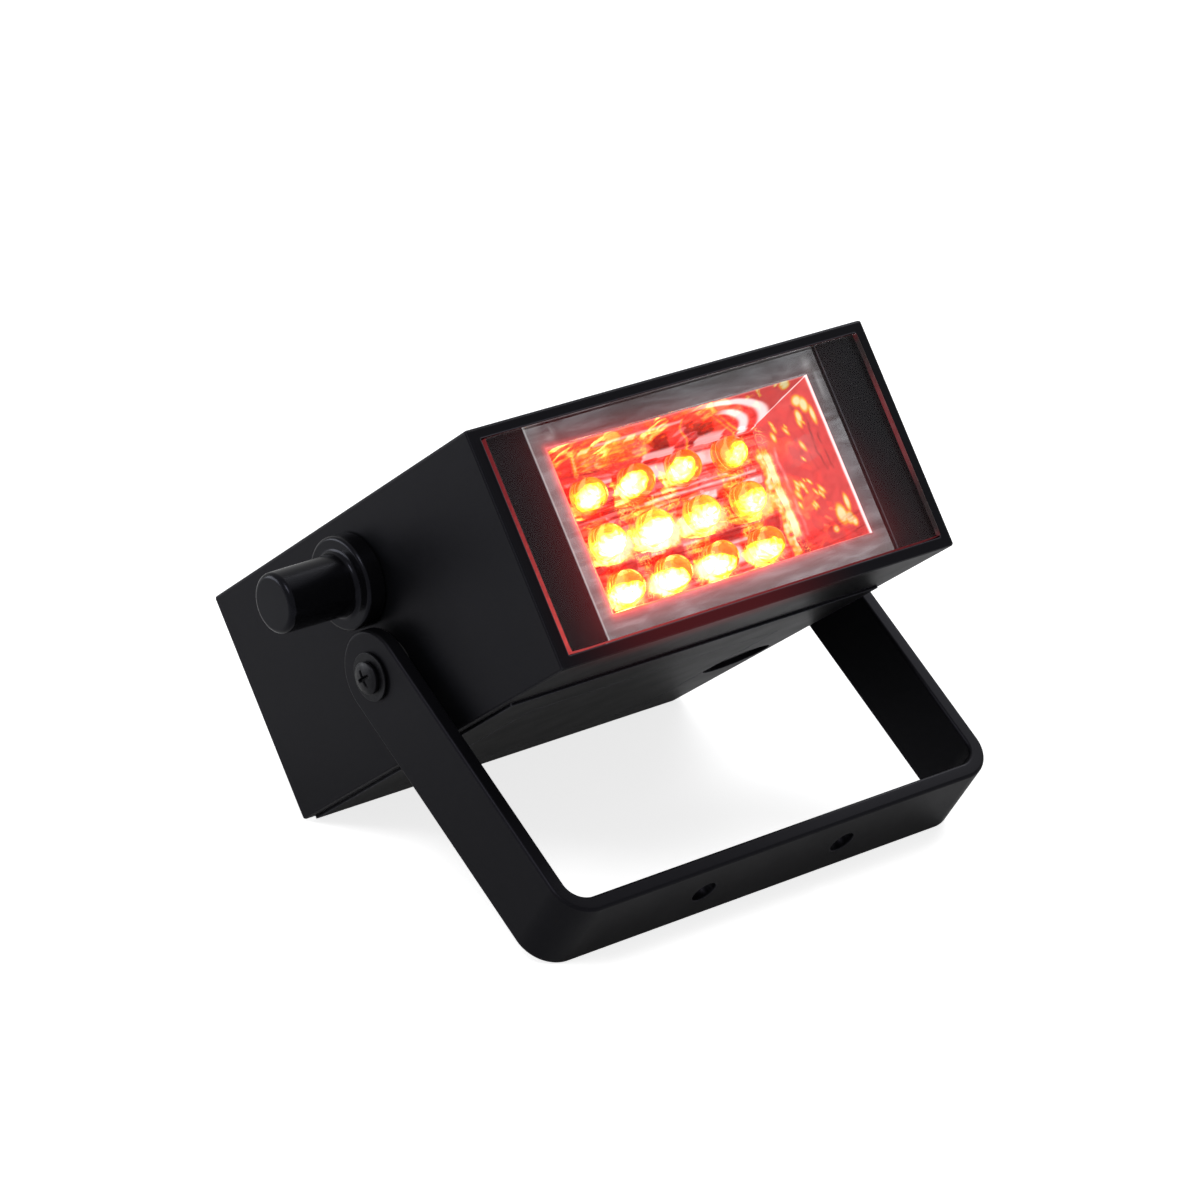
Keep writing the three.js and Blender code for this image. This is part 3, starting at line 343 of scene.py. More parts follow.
def solder_mask():
    """Fibreglass board under a green solder mask: copper tracks show through as lighter lines."""
    finish, tree, shader, place = new_finish("green_solder_mask", {"IOR": 1.55})
    tracks = add_node(tree, "ShaderNodeTexBrick", {
        "Vector": place, "Scale": 1.0, "Brick Width": 0.0052, "Row Height": 0.0021, "Mortar Size": 0.00026,
        "Color1": linear("#1d5a2c"), "Color2": linear("#1a5428"), "Mortar": linear("#2f7d3f")})
    feed(shader, {
        "Base Color": tracks.outputs["Color"], "Roughness": uneven(tree, place, 0.22, 0.36, 0.003),
        "Normal": add_node(tree, "ShaderNodeBump", {
            "Strength": 1.0, "Distance": 0.00004, "Height": tracks.outputs["Fac"]}, "Normal")})
    return finish


def fill_mesh(mesh, points, faces):
    """Puts points and faces into a mesh. Faces are arrays of corner indices, one for each face width."""
    loops = np.concatenate([block.ravel() for block in faces]).astype(np.int32)
    widths = np.concatenate([np.full(len(block), block.shape[1]) for block in faces])
    starts = np.concatenate([[0], np.cumsum(widths)[:-1]]).astype(np.int32)
    mesh.vertices.add(len(points))
    mesh.vertices.foreach_set("co", np.asarray(points, np.float32).ravel())
    mesh.loops.add(len(loops))
    mesh.loops.foreach_set("vertex_index", loops)
    mesh.polygons.add(len(starts))
    mesh.polygons.foreach_set("loop_start", starts)
    mesh.update(calc_edges=True)


def make_piece(name, points, faces, finishes, body, replaced, sharp=38, parts=None, painted=None):
    """Makes one closed piece in the row frame, merges its seams, turns its faces outwards and lets it
    ride on a body. parts gives each face's finish by number. painted gives arrays of one float per
    point, kept as named attributes."""
    mesh = bpy.data.meshes.new(name)
    fill_mesh(mesh, points, faces)
    if parts is not None:
        mesh.polygons.foreach_set("material_index", np.asarray(parts, np.int32))
    for word, values in (painted or {}).items():
        mesh.attributes.new(word, "FLOAT", "POINT").data.foreach_set("value", np.asarray(values, np.float32))
    shape = bmesh.new()
    shape.from_mesh(mesh)
    bmesh.ops.remove_doubles(shape, verts=shape.verts, dist=2e-6)
    bmesh.ops.dissolve_degenerate(shape, dist=1e-7, edges=shape.edges)
    bmesh.ops.recalc_face_normals(shape, faces=shape.faces)
    shape.to_mesh(mesh)
    shape.free()
    mesh.polygons.foreach_set("use_smooth", np.ones(len(mesh.polygons), bool))
    mesh.set_sharp_from_angle(angle=math.radians(sharp))
    for finish in finishes:
        mesh.materials.append(finish)
    piece = bpy.data.objects.new(name, mesh)
    bpy.context.scene.collection.objects.link(piece)
    piece.modifiers.new("even_shading", "WEIGHTED_NORMAL").keep_sharp = True
    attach(piece, body)
    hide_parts(replaced)
    return piece


def dress(node, finish):
    """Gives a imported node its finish."""
    mesh = frame["nodes"][node].data
    mesh.materials.clear()
    mesh.materials.append(finish)


def grid_faces(rows, columns, close_columns=False):
    """The four-cornered faces of a grid of points stored row by row, each row a ring where asked."""
    r = np.arange(rows - 1)[:, None]
    c = np.arange(columns if close_columns else columns - 1)[None, :]
    below, beside = r + 1, (c + 1) % columns
    corners = (r * columns + c, r * columns + beside, below * columns + beside, below * columns + c)
    return np.stack(np.broadcast_arrays(*corners), -1).reshape(-1, 4)


def unit(vectors):
    """Vectors made one long."""
    return vectors / np.linalg.norm(vectors, axis=1, keepdims=True)


def filleted(corners, radii, steps):
    """A profile with round corners. At each inner corner P, with unit directions a and b to its
    neighbours and half angle h between them, the arc starts r/tan(h) along a, ends as far along b, and
    its points turn evenly about P + (a + b)/|a + b| * r/sin(h)."""
    p = np.array(corners, float)
    r = np.maximum(np.array(radii, float), 1e-9)[:, None]
    a = unit(p[:-2] - p[1:-1])
    b = unit(p[2:] - p[1:-1])
    half = np.arccos(np.clip((a * b).sum(1, keepdims=True), -1, 1)) / 2
    centre = p[1:-1] + unit(a + b) * r / np.sin(half)
    first = (p[1:-1] + a * r / np.tan(half) - centre) / r
    last = (p[1:-1] + b * r / np.tan(half) - centre) / r
    turn = (np.pi - 2 * half)[:, None]
    share = np.linspace(0, 1, steps + 1)[None, :, None]
    way = (np.sin((1 - share) * turn) * first[:, None] + np.sin(share * turn) * last[:, None]) / np.sin(turn)
    return np.concatenate([p[:1], (centre[:, None] + r[:, None] * way).reshape(-1, 2), p[-1:]])


def revolved(profile, sides):
    """A profile of (radius, height) pairs turned about an axis: x = height, y = r cos t, z = r sin t."""
    t = np.arange(sides) * 2 * np.pi / sides
    r, h = profile[:, :1], profile[:, 1:]
    points = np.stack([h + 0 * t, r * np.cos(t), r * np.sin(t)], -1)
    return points.reshape(-1, 3), grid_faces(len(profile), sides, True)


def in_head(points):
    """Points of the head's frame in the row frame."""
    return np.asarray(points) @ HEAD_AXES.T + HEAD_ORIGIN


# What turns +X to each direction of the head's frame
TURNS = {
    "x": [[1, 0, 0], [0, 1, 0], [0, 0, 1]],
    "-x": [[-1, 0, 0], [0, -1, 0], [0, 0, 1]],
    "y": [[0, 1, 0], [-1, 0, 0], [0, 0, 1]],
    "-y": [[0, -1, 0], [1, 0, 0], [0, 0, 1]],
}


def facing(points, direction, place):
    """Points drawn about +X, turned to a direction of the head's frame at a place."""
    return in_head(points @ np.array(TURNS[direction], float) + np.array(place))


def pierced(rows, columns, windows):
    """The faces of a row-by-row grid without those inside the windows, and each window's rim as a loop
    of indices. A window is (first row, last row, first column, last column)."""
    faces = grid_faces(rows, columns)
    r, c = faces[:, 0] // columns, faces[:, 0] % columns
    kept = np.ones(len(faces), bool)
    rims = []
    for r0, r1, c0, c1 in windows:
        kept &= ~((r >= r0) & (r < r1) & (c >= c0) & (c < c1))
        across, down = np.arange(c0, c1), np.arange(r0, r1)
        rims.append(np.concatenate([
            r0 * columns + across, down * columns + c1, r1 * columns + across[::-1] + 1,
            down[::-1] * columns + columns + c0]))
    return faces[kept], rims


class STROBE_OT_housing(bpy.types.Operator):
    """Gives the housing, the cover and the battery door their satin moulded finish."""
    bl_idname = "strobe.housing"
    bl_label = "Housing finish"

    def execute(self, context):
        finish = satin_abs("satin_moulded_abs_by_the_lamps", True)
        for node in ("housing_shell", "bottom_cover", "battery_door"):
            dress(node, finish)
        return {"FINISHED"}


class STROBE_OT_knob(bpy.types.Operator):
    """Makes the turned speed knob: a grip with a rounded end that runs in a fillet into a round skirt."""
    bl_idname = "strobe.knob"
    bl_label = "Speed knob"

    def execute(self, context):
        s = context.scene.strobe_knob
        face = CLEARANCE + s.skirt_thickness
        wall, bore, crown, rim = 0.0012, 0.00315, 0.004, s.skirt_radius - 0.0026
        corners = [
            (0, s.length), (s.radius, s.length), (s.radius + s.flare, face), (s.skirt_radius, face),
            (s.skirt_radius, CLEARANCE), (rim, CLEARANCE), (rim, face - wall), (bore, face - wall),
            (bore, s.length - crown), (0, s.length - crown)]
        radii = [0.0014, 0.0013, 0.0009, 0.0003, 0.0002, 0.0003, 0.0003, 0.0002]
        points, faces = revolved(filleted(corners, radii, 8), 128)
        points = facing(points, "-x", (-HEAD_HALF_WIDTH, PIVOT_IN_HEAD[1], s.rise))
        finish = plain_finish("polished_moulded_abs", tuple(s.colour))
        make_piece("speed_knob", points, [faces], [finish], "speed_knob", "knob")
        return {"FINISHED"}


# The grid of the strap: each hole has a square window of eight cells by eight round it, on both faces
WINDOW = 0.005
WINDOW_LINES = 9
EDGE_STEPS = 5


class STROBE_OT_bracket(bpy.types.Operator):
    """Makes the U-shaped bracket: a strap with round edges and ends, two bends and four holes."""
    bl_idname = "strobe.bracket"
    bl_label = "Bracket"

    def place(self, s, along, across, off):
        """A point of the strap in the bracket's frame. along is the length from the middle of the bar
        on the strap's middle line: straight, then a quarter turn of the bend, then straight up the arm."""
        radius = s.bend + s.thickness / 2
        half_bar = s.half_span - s.bend - s.thickness
        side, run = np.sign(along), np.abs(along)
        angle = np.clip((run - half_bar) / radius, 0, np.pi / 2)
        up = np.maximum(run - half_bar - radius * np.pi / 2, 0)
        x = np.minimum(run, half_bar) + (radius + off) * np.sin(angle)
        z = -s.reach + s.bend + s.thickness - (radius + off) * np.cos(angle) + up
        return np.stack([side * x, across, z], -1)

    def execute(self, context):
        s = context.scene.strobe_bracket
        half_bar = s.half_span - s.bend - s.thickness
        arm_foot = half_bar + (s.bend + s.thickness / 2) * np.pi / 2
        pivot = arm_foot + s.reach - s.bend - s.thickness
        thick, e, flat, hole = s.thickness / 2, s.edge, s.width / 2 - s.edge, s.hole_spacing / 2
        steps = np.linspace(-WINDOW, WINDOW, WINDOW_LINES)
        # Places along one side of the strap: from the middle of the bar to the pivot, then round the end
        bar_run = np.concatenate([
            [0], np.linspace(0.006, hole - WINDOW - 0.003, 3), hole + steps,
            np.linspace(hole + WINDOW + 0.004, half_bar, 7)])
        bend_run = half_bar + (arm_foot - half_bar) * np.arange(1, 17) / 16
        arm_run = np.linspace(arm_foot + 0.006, pivot - WINDOW - 0.004, 8)
        end_turn = np.radians(np.arange(1, 13) * 7.5)
        run = np.concatenate([bar_run, bend_run, arm_run, pivot + steps[:5], np.full(len(end_turn), pivot)])
        turn = np.concatenate([np.zeros(len(run) - len(end_turn)), end_turn])
        first_hole = np.sum(bar_run < hole - WINDOW - 1e-9)
        first_pivot = len(run) - len(end_turn) - 5
        mirrored = len(run) - 1
        run = np.concatenate([-run[:0:-1], run])
        turn = np.concatenate([-turn[:0:-1], turn])
        # One loop round the strap: the outer face, an edge, the side, an edge, the inner face and so back
        face = np.concatenate([[-flat], steps, [flat]]) / flat
        arc = np.radians(np.linspace(90, 0, EDGE_STEPS + 1))[1:]
        rise, out = thick - e + e * np.sin(arc), e * np.cos(arc)
        full, none, one = np.full(len(face), thick), np.zeros(len(face)), np.ones(2 * EDGE_STEPS)
        off = np.concatenate([full, rise, -rise[::-1], -full, -rise, rise[::-1], full[:1]])
        spread = flat + np.concatenate([none, out, out[::-1], none, out, out[::-1], none[:1]])
        share = np.concatenate([face, one, face[::-1], -one, face[:1]])
        along = run[:, None] + spread * np.sin(turn)[:, None]
        across = share * spread * np.cos(turn)[:, None]
        points = self.place(s, along, across, np.broadcast_to(off, along.shape)).reshape(-1, 3)
        inner_face = len(face) + 2 * EDGE_STEPS
        cells = WINDOW_LINES - 1
        windows = [
            (start, start + cells, column, column + cells) for column in (1, inner_face + 1) for start in (
                mirrored + first_hole, mirrored - first_hole - cells,
                mirrored + first_pivot, mirrored - first_pivot - cells)]
        faces, rims = pierced(len(run), len(off), windows)
        all_points, all_faces, count = [points], [faces], len(points)
        # Both faces list their windows in the same order, so a hole joins a rim to the one four further on
        for number, (middle, radius) in enumerate((
                (hole, s.hole), (-hole, s.hole), (pivot, s.pivot_hole), (-pivot, s.pivot_hole))):
            axis = self.place(s, np.array([middle] * 2), np.zeros(2), np.array([thick, -thick]))
            rings = self.bore(points[rims[number]], points[rims[number + 4]], *axis, radius)
            all_points.append(rings.reshape(-1, 3))
            all_faces.append(grid_faces(*rings.shape[:2], True) + count)
            count += len(all_points[-1])
        points = np.concatenate(all_points) @ turned_axes(LEAN + s.tilt).T + PIVOT
        make_piece("bracket_strap", points, all_faces, [satin_abs()], "bracket", "bracket",
                   30)
        return {"FINISHED"}

    def bore(self, outer, inner, top, bottom, radius):
        """Rings of points from a rim on one face, down a round hole and out to the rim on the other
        face. Each rim point is pulled straight towards the hole's axis, so a ring point is centre +
        direction * radius."""
        depth = np.linalg.norm(bottom - top)
        axis = (bottom - top) / depth
        spoke, reverse = (
            unit(way - (way @ axis)[:, None] * axis) for way in (outer - top, inner - bottom))
        lip = 0.00025
        steps = [(lip, 0), (lip * 0.3, lip * 0.3), (0, lip), (0, depth - lip), (lip * 0.3, depth - lip * 0.3),
                 (lip, depth)]
        rings = [top + axis * down + spoke * (radius + wide) for wide, down in steps]
        return np.stack([outer, *rings, inner[np.argmax(spoke @ reverse.T, axis=1)]])


def cross_screw(head, height, shank, length, recess):
    """A pan-head screw about +X with its seat at 0. The head's height is H (1 - 0.45 (r/R)^2), less a
    cross-shaped recess, which is deep where a point lies within the cross's arms and fades over a tenth
    of its length."""
    inner = np.linspace(0, head * 0.82, 24)
    dome = height * (1 - 0.45 * (inner / head) ** 2)
    edge_r, edge_h = head - height * 0.28, height * 0.42
    turn = np.linspace(0, np.pi / 2, 5)
    rim = np.stack([edge_r + (head - edge_r) * np.sin(turn),
                    edge_h + (dome[-1] - height * 0.1 - edge_h) * np.cos(turn)], 1)
    points, faces = revolved(np.concatenate([
        np.stack([inner, dome], 1), rim,
        [(head, height * 0.08), (head * 0.98, 0), (shank, 0), (shank, -length + shank * 0.6),
         (shank * 0.4, -length), (0, -length)]]), 96)
    y, z = np.abs(points[:, 1:]).T
    half, fade = recess * 0.2, recess * 0.1

    def inside(long, wide):
        return np.clip((recess - long) / fade, 0, 1) * np.clip(
            (half * (1.15 - 0.3 * long / recess) - wide) / fade, 0, 1)

    mask = np.maximum(inside(y, z), inside(z, y))
    bowl = np.clip(1.2 - np.hypot(y, z) / recess * 0.7, 0, 1)
    points[:, 0] -= np.where(points[:, 0] > height * 0.3, mask * bowl * height * 0.8, 0)
    return points, faces


class STROBE_OT_pivots(bpy.types.Operator):
    """Makes the pivot screws and washers on both arms, and the two screws of the cover at the rear."""
    bl_idname = "strobe.pivots"
    bl_label = "Screws and washers"

    def execute(self, context):
        s = context.scene.strobe_fasteners
        finish = plain_finish("black_oxide_steel")
        # A washer from its inner to its outer face, and the screw's head on it
        low = context.scene.strobe_bracket.half_span + CLEARANCE
        high = low + s.washer_thickness
        middle, hole = (low + high) / 2, s.shank + CLEARANCE
        washer = filleted([(hole, middle), (hole, high), (s.washer, high), (s.washer, low), (hole, low),
                           (hole, middle)], [0.00015] * 4, 3)
        low_end, high_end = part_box("pivot_screw_left")
        screw, screw_faces = cross_screw(
            s.head, s.head_height, s.shank, high_end[0] - low_end[0] - s.head_height, 0.0022)
        ring, ring_faces = revolved(washer, 96)
        for word, way in (("left", "-x"), ("right", "x")):
            for name, node, points, faces in (
                    ("pivot_machine_screw", "pivot_screw", screw + [high + CLEARANCE, 0, 0], screw_faces),
                    ("pivot_plain_washer", "pivot_washer", ring, ring_faces)):
                make_piece(f"{name}_{word}", facing(points, way, (0, *PIVOT_IN_HEAD[1:])), [faces], [finish],
                           "head", f"{node}_{word}")
        # The cover's screws: the head's radius and height, the shank's radius and length, and the cross
        points, faces = cross_screw(0.0028, 0.002, 0.0015, 0.012, 0.0017)
        rear, height = 0.1155, -0.02055
        for number, x in ((1, -0.046), (2, 0.046)):
            make_piece(f"cover_tapping_screw_{number}", facing(points, "y", (x, rear, height)), [faces],
                       [finish], "head", f"cover_screw_{number}")
        return {"FINISHED"}


def clear_acrylic():
    """Cast acrylic sheet with polished faces: clear, with a trace of grey and a very slight waviness. A
    little red lamp light is scattered in it."""
    finish, tree, shader, place = new_finish("clear_cast_acrylic", {
        "IOR": 1.49, "Roughness": 0.015, "Transmission Weight": 1.0, "Base Color": linear("#f4f6f6"),
        "Specular Tint": linear("#5c5c60"), "Emission Strength": 0.6})
    haze = add_node(tree, "ShaderNodeAttribute", None, "Fac", attribute_name="haze")
    feed(shader, {
        "Normal": bumped(tree, place, (0.05, 0.00003)),
        "Emission Color": add_node(tree, "ShaderNodeMix", {
            "Factor": haze, "A": linear("#000000"), "B": linear("#6e1013")}, "Result", data_type="RGBA")})
    return finish


def lit_edge(glow):
    """Sawn acrylic edge: matt and pale, it lets out the red lamp light that the sheet carries inside."""
    finish, tree, shader, place = new_finish("sawn_acrylic_edge", {
        "IOR": 1.49, "Roughness": 0.5, "Specular IOR Level": 0.12, "Base Color": linear("#160a0b"),
        "Transmission Weight": 0.08, "Emission Strength": glow})
    share = add_node(tree, "ShaderNodeAttribute", None, "Fac", attribute_name="share")
    saw = add_node(tree, "ShaderNodeTexNoise", {"Scale": 900.0, "Detail": 2.0, "Vector": place}, "Fac")
    streak = add_node(tree, "ShaderNodeMapRange", {"Value": saw, "To Min": 0.75, "To Max": 1.2}, "Result")
    level = add_node(tree, "ShaderNodeMath", {0: share, 1: streak}, "Value", operation="MULTIPLY")
    feed(shader, {"Emission Color": set_stops(add_node(tree, "ShaderNodeValToRGB", {"Fac": level}), [
        (0.0, "#0d0304"), (0.4, "#7a262b"), (1.0, "#f95d59")])})
    return finish


PANE_HALF_X, PANE_HALF_Z = 0.0565, 0.02585
PANE_CORNER, PANE_SOFT = 0.0005, 0.00025

# The reflector's aperture, and the rectangle and the depths of its floor
APERTURE_X, APERTURE_Z = 0.0395, 0.02
FLOOR_X, FLOOR_LOW, FLOOR_HIGH = 0.032, -0.0178, 0.0144
TRAY_FRONT, TRAY_FLOOR, TRAY_BACK = 0.0029, 0.0196, 0.0211


class STROBE_OT_pane(bpy.types.Operator):
    """Makes the clear pane: a rounded rectangle with softened edges, whose sawn sides glow."""
    bl_idname = "strobe.pane"
    bl_label = "Front pane"

    def execute(self, context):
        s = context.scene.strobe_pane
        size = np.array([PANE_HALF_X, PANE_HALF_Z])
        front, back = -s.proud, s.thickness - s.proud
        per_side = 24
        # The outline: four sides cut into short lengths, pulled in at the corners by a small radius
        t = np.linspace(-1, 1, per_side, endpoint=False)
        one = np.ones(per_side)
        outline = np.concatenate([
            np.stack([t, -one], 1), np.stack([one, t], 1), np.stack([-t, one], 1), np.stack([-one, -t], 1)])
        flat = outline * size
        inner = np.sign(flat) * np.minimum(np.abs(flat), size - PANE_CORNER)
        spoke = flat - inner
        away = np.maximum(np.linalg.norm(spoke, axis=1, keepdims=True), 1e-9)
        base = inner + spoke / away * np.minimum(away, PANE_CORNER)
        outward = np.where(np.abs(outline) >= 1, np.sign(outline), 0)
        soft_edge = [(PANE_SOFT * 2, 0), (PANE_SOFT, 0), (PANE_SOFT * 0.3, PANE_SOFT * 0.3), (0, PANE_SOFT)]
        rings = [(pull, front + deep) for pull, deep in soft_edge]
        rings += [(pull, back - deep) for pull, deep in reversed(soft_edge)]
        points = [np.insert(base - outward * pull, 1, y, axis=1) for pull, y in rings]
        blocks = [grid_faces(len(rings), len(base), True)]
        ring_of = blocks[0][:, 0] // len(base)
        parts = [np.where((ring_of >= 2) & (ring_of <= 4), 1, 0)]
        pull = rings[0][0]
        line = np.linspace(-1, 1, per_side + 1)
        cap = np.stack(np.meshgrid(*(np.clip(line * half, pull - half, half - pull) for half in size),
                                   indexing="ij"), -1)
        for number, corner in enumerate(((0, 0), (-1, 0), (-1, -1), (0, -1))):
            cap[corner] = base[number * per_side] - outward[number * per_side] * pull
        for y in (front, back):
            blocks.append(grid_faces(per_side + 1, per_side + 1) + sum(map(len, points)))
            parts.append(np.zeros(per_side ** 2))
            points.append(np.insert(cap.reshape(-1, 2), 1, y, axis=1))
        points = np.concatenate(points)
        pane = make_piece("acrylic_pane", in_head(points), blocks, [clear_acrylic(), lit_edge(s.edge_glow)],
                          "head", "front_window", 30, np.concatenate(parts),
                          self.pane_light(points))
        # The clear sheet casts no shadow, so that the studio lights reach what lies behind it
        pane.visible_shadow = False
        return {"FINISHED"}

    def pane_light(self, points):
        """How much lamp light the edge lets out, most on the left and along the foot next to it, and
        how much the sheet scatters over its face: it falls off with distance from the aperture, most at
        the lower left."""
        x, z = points[:, 0] / PANE_HALF_X, points[:, 2] / PANE_HALF_Z
        left = np.clip((-x - 0.98) / 0.02, 0, 1) * (0.52 - 0.22 * z)
        foot = np.clip((-z - 0.96) / 0.04, 0, 1) * np.clip(0.62 - 0.45 * (x + 1) / 2, 0, 1)
        right = np.clip((x - 0.98) / 0.02, 0, 1) * np.exp(-((z - 0.1) / 0.5) ** 4) * 0.3
        top = np.clip((z - 0.96) / 0.04, 0, 1) * 0.16
        outside = beyond_aperture(points)
        low_left = np.clip(0.55 - 0.5 * x - 0.45 * z, 0.05, 1.2)
        haze = np.where(outside > 0, 1.0, 0.35) * low_left * np.exp(-outside / 0.0045)
        return {"share": np.maximum.reduce([left, foot, right, top]), "haze": haze}


def beyond_aperture(points):
    """How far points of the head's front lie outside the reflector's aperture."""
    return np.hypot(*(np.maximum(np.abs(points[:, axis]) - half, 0)
                      for axis, half in ((0, APERTURE_X), (2, APERTURE_Z))))


def lamp_spots(s):
    """The twelve lamps as (row, column, x, z)."""
    return [(row, column, (column - 1.5) * s.pitch_across, s.middle + (1 - row) * s.pitch_up)
            for row in range(3) for column in range(4)]


def lens_epoxy(strength):
    """Clear epoxy lens of a lit red lamp: white-yellow dome, orange where it turns away, clear barrel."""
    finish, tree, shader, place = new_finish("cast_epoxy_lens", {
        "IOR": 1.54, "Roughness": 0.02, "Base Color": linear("#ffb08a"), "Transmission Weight": 1.0,
        "Emission Strength": strength})
    level = add_node(tree, "ShaderNodeAttribute", None, "Fac", attribute_name="share")
    cloud = add_node(tree, "ShaderNodeTexNoise", {
        "Scale": 340.0, "Detail": 3.0, "Distortion": 2.0, "Vector": place}, "Fac")
    turned = add_node(tree, "ShaderNodeLayerWeight", {"Blend": 0.35}, "Facing")
    # The inner side of the lens is dimmer, so that a part without light of its own looks clear
    within = add_node(tree, "ShaderNodeNewGeometry", None, "Backfacing")
    for operation, source, low, high, first, last in (
            ("MULTIPLY", cloud, 0.3, 0.7, 0.8, 1.08), ("MULTIPLY", turned, 0.3, 1.0, 1.0, 0.62),
            ("MAXIMUM", turned, 0.8, 0.97, 0.0, 0.66), ("MULTIPLY", within, 0.0, 1.0, 1.0, 0.5)):
        change = add_node(tree, "ShaderNodeMapRange", {
            "Value": source, "From Min": low, "From Max": high, "To Min": first, "To Max": last}, "Result")
        level = add_node(tree, "ShaderNodeMath", {0: level, 1: change}, "Value", operation=operation)
    feed(shader, {"Emission Color": set_stops(add_node(tree, "ShaderNodeValToRGB", {"Fac": level}), [
        (0.0, "#000000"), (0.3, "#2a0601"), (0.55, "#953007"), (0.72, "#dc7410"), (0.9, "#f6c04e"),
        (1.0, "#ffda7c")])})
    return finish


# Lamps of one batch differ a little in brightness. The middle row is the brightest.
LAMP_POWER = ((0.96, 0.98, 0.94, 0.84), (1.06, 1.16, 0.98, 0.92), (1.0, 1.08, 1.04, 0.94))

# Where each row's light gathers, in millimetres from a lamp's axis: middle across, middle up, half width,
# half height and slant. It is measured where a line from the light down and to the left meets the
# reflector's floor.
LAMP_PATCHES = ((-0.8, -0.4, 3.9, 3.0, 0.45), (1.6, -1.5, 5.9, 3.5, 0.0), (-1.2, -1.5, 5.5, 2.9, 0.0))
LAMP_SHIFTS = ((0.9, -0.5, 0.0, 3.2), (0.0, -0.4, -0.2, 0.8), (1.0, -0.8, -0.7, 0.4))


def lit_patch(row, column, across, up, height):
    """How far a point lies from the middle of its lamp's lit patch, 1 at the patch's edge. The patch is
    an ellipse on the floor, and a point that stands higher is first moved down its sight line: 0.55
    across and 0.17 up per mm."""
    middle, rise, wide, tall, slant = LAMP_PATCHES[row]
    u = across - 0.55 * height - middle - LAMP_SHIFTS[row][column]
    w = up - 0.17 * height - rise
    return np.hypot((u - slant * w) / wide, w / tall)


class STROBE_OT_lamps(bpy.types.Operator):
    """Makes the twelve lit lamps: a round barrel with a flange at its foot and a domed lens."""
    bl_idname = "strobe.lamps"
    bl_label = "Lamps"

    def execute(self, context):
        s = context.scene.strobe_lamps
        finishes = [lens_epoxy(s.brightness), plain_finish("tinned_lead")]
        base = 0.0226
        body = base - TRAY_FLOOR + s.stand_out
        shoulder = body - s.radius
        foot = filleted([(0, -0.0001), (0.0046, -0.0001), (0.0046, 0.0011), (s.radius, 0.0012),
                         (s.radius, shoulder)], [0.0003, 0.0004, 0.0003], 4)
        turn = np.radians(np.linspace(0, 90, 20))
        dome = np.stack([s.radius * np.cos(turn), shoulder + s.radius * np.sin(turn)], 1)
        points, faces = revolved(np.concatenate([foot[:-1], dome]), 48)
        for row, column, x, z in lamp_spots(s):
            leads, lead_faces = self.leads(x, z, base)
            light = self.lit_part(row, column, points) * LAMP_POWER[row][column]
            make_piece(f"lens_lamp_{row + 1}_{column + 1}",
                       np.concatenate([facing(points, "-y", (x, base, z)), leads]),
                       [faces, lead_faces + len(points)], finishes, "head", f"led_{row + 1}_{column + 1}",
                       40, np.repeat([0, 1], [len(faces), len(lead_faces)]),
                       {"share": np.concatenate([light, np.zeros(len(leads))])})
        return {"FINISHED"}

    def lit_part(self, row, column, points):
        """How bright each point of a lens is: white in the middle of its lit patch, yellow towards the
        patch's edge and nearly clear outside it. A few waves break it up."""
        height, across, up = (points * 1000).T
        away = lit_patch(row, column, across, up, -(height - 3))
        away = away * (1 + 0.16 * waves(across, up + height, (4.0, 2.2), 4 * row + column))
        level = 1.05 - 0.24 * soft(away, 0.45, 0.95) - 0.42 * soft(away, 0.95, 1.2)
        return level * (1 + 0.1 * waves(across, up + height, (1.8, 1.2), 50 + 4 * row + column))

    def leads(self, x, z, base):
        """Two square leads with pointed ends, as stacks of four-cornered sections."""
        half, spacing = 0.00025, 0.00127
        square = np.array([(-1, -1), (1, -1), (1, 1), (-1, 1)], float) * half
        sections = ((0, base - 0.0003), (1, base - 0.0003), (1, 0.0257), (0.5, 0.026), (0, 0.026))
        points = [np.insert(square * k + [x + side * spacing, z], 1, y, axis=1)
                  for side in (-1, 1) for k, y in sections]
        faces = grid_faces(len(sections), 4, True)
        return in_head(np.concatenate(points)), np.concatenate([faces, faces + 4 * len(sections)])


def waves(u, v, lengths, seed):
    """A smooth random surface: the mean of sines sin(2 pi (a u + b v)/L + p) with random a, b and p."""
    draw = np.random.default_rng(seed)
    total = np.zeros(np.broadcast(u, v).shape)
    for size in lengths:
        for angle, phase in draw.uniform(0, 2 * np.pi, (4, 2)):
            total = total + np.sin(2 * np.pi * (np.cos(angle) * u + np.sin(angle) * v) / size + phase)
    return total / (4 * len(lengths))


def soft(value, low, high):
    """A smooth step: 0 up to low, 1 from high, and t t (3 - 2 t) between, as t runs from 0 to 1."""
    t = np.clip((value - low) / (high - low), 0, 1)
    return t * t * (3 - 2 * t)


def stripe(value, inner, outer):
    """A soft band about 0: 1 up to the inner distance and 0 from the outer one."""
    return 1 - soft(np.abs(value), inner, outer)


def blots(a, b, *rows):
    """The strongest of several soft-edged rectangles. Each row gives the middle and half the width
    along a and along b, the width of the soft edge and, where it isn't 1, the strength."""
    return np.maximum.reduce([
        stripe(a - middle_a, half_a - edge, half_a + edge)
        * stripe(b - middle_b, half_b - edge, half_b + edge)
        * (strength[0] if strength else 1)
        for middle_a, half_a, middle_b, half_b, edge, *strength in rows])


def glows(a, b, *rows):
    """The strongest of several round lights exp(-d^2). Each row gives the middle and both sizes."""
    return np.maximum.reduce([
        np.exp(-((a - middle_a) / wide) ** 2 - ((b - middle_b) / tall) ** 2)
        for middle_a, middle_b, wide, tall in rows])


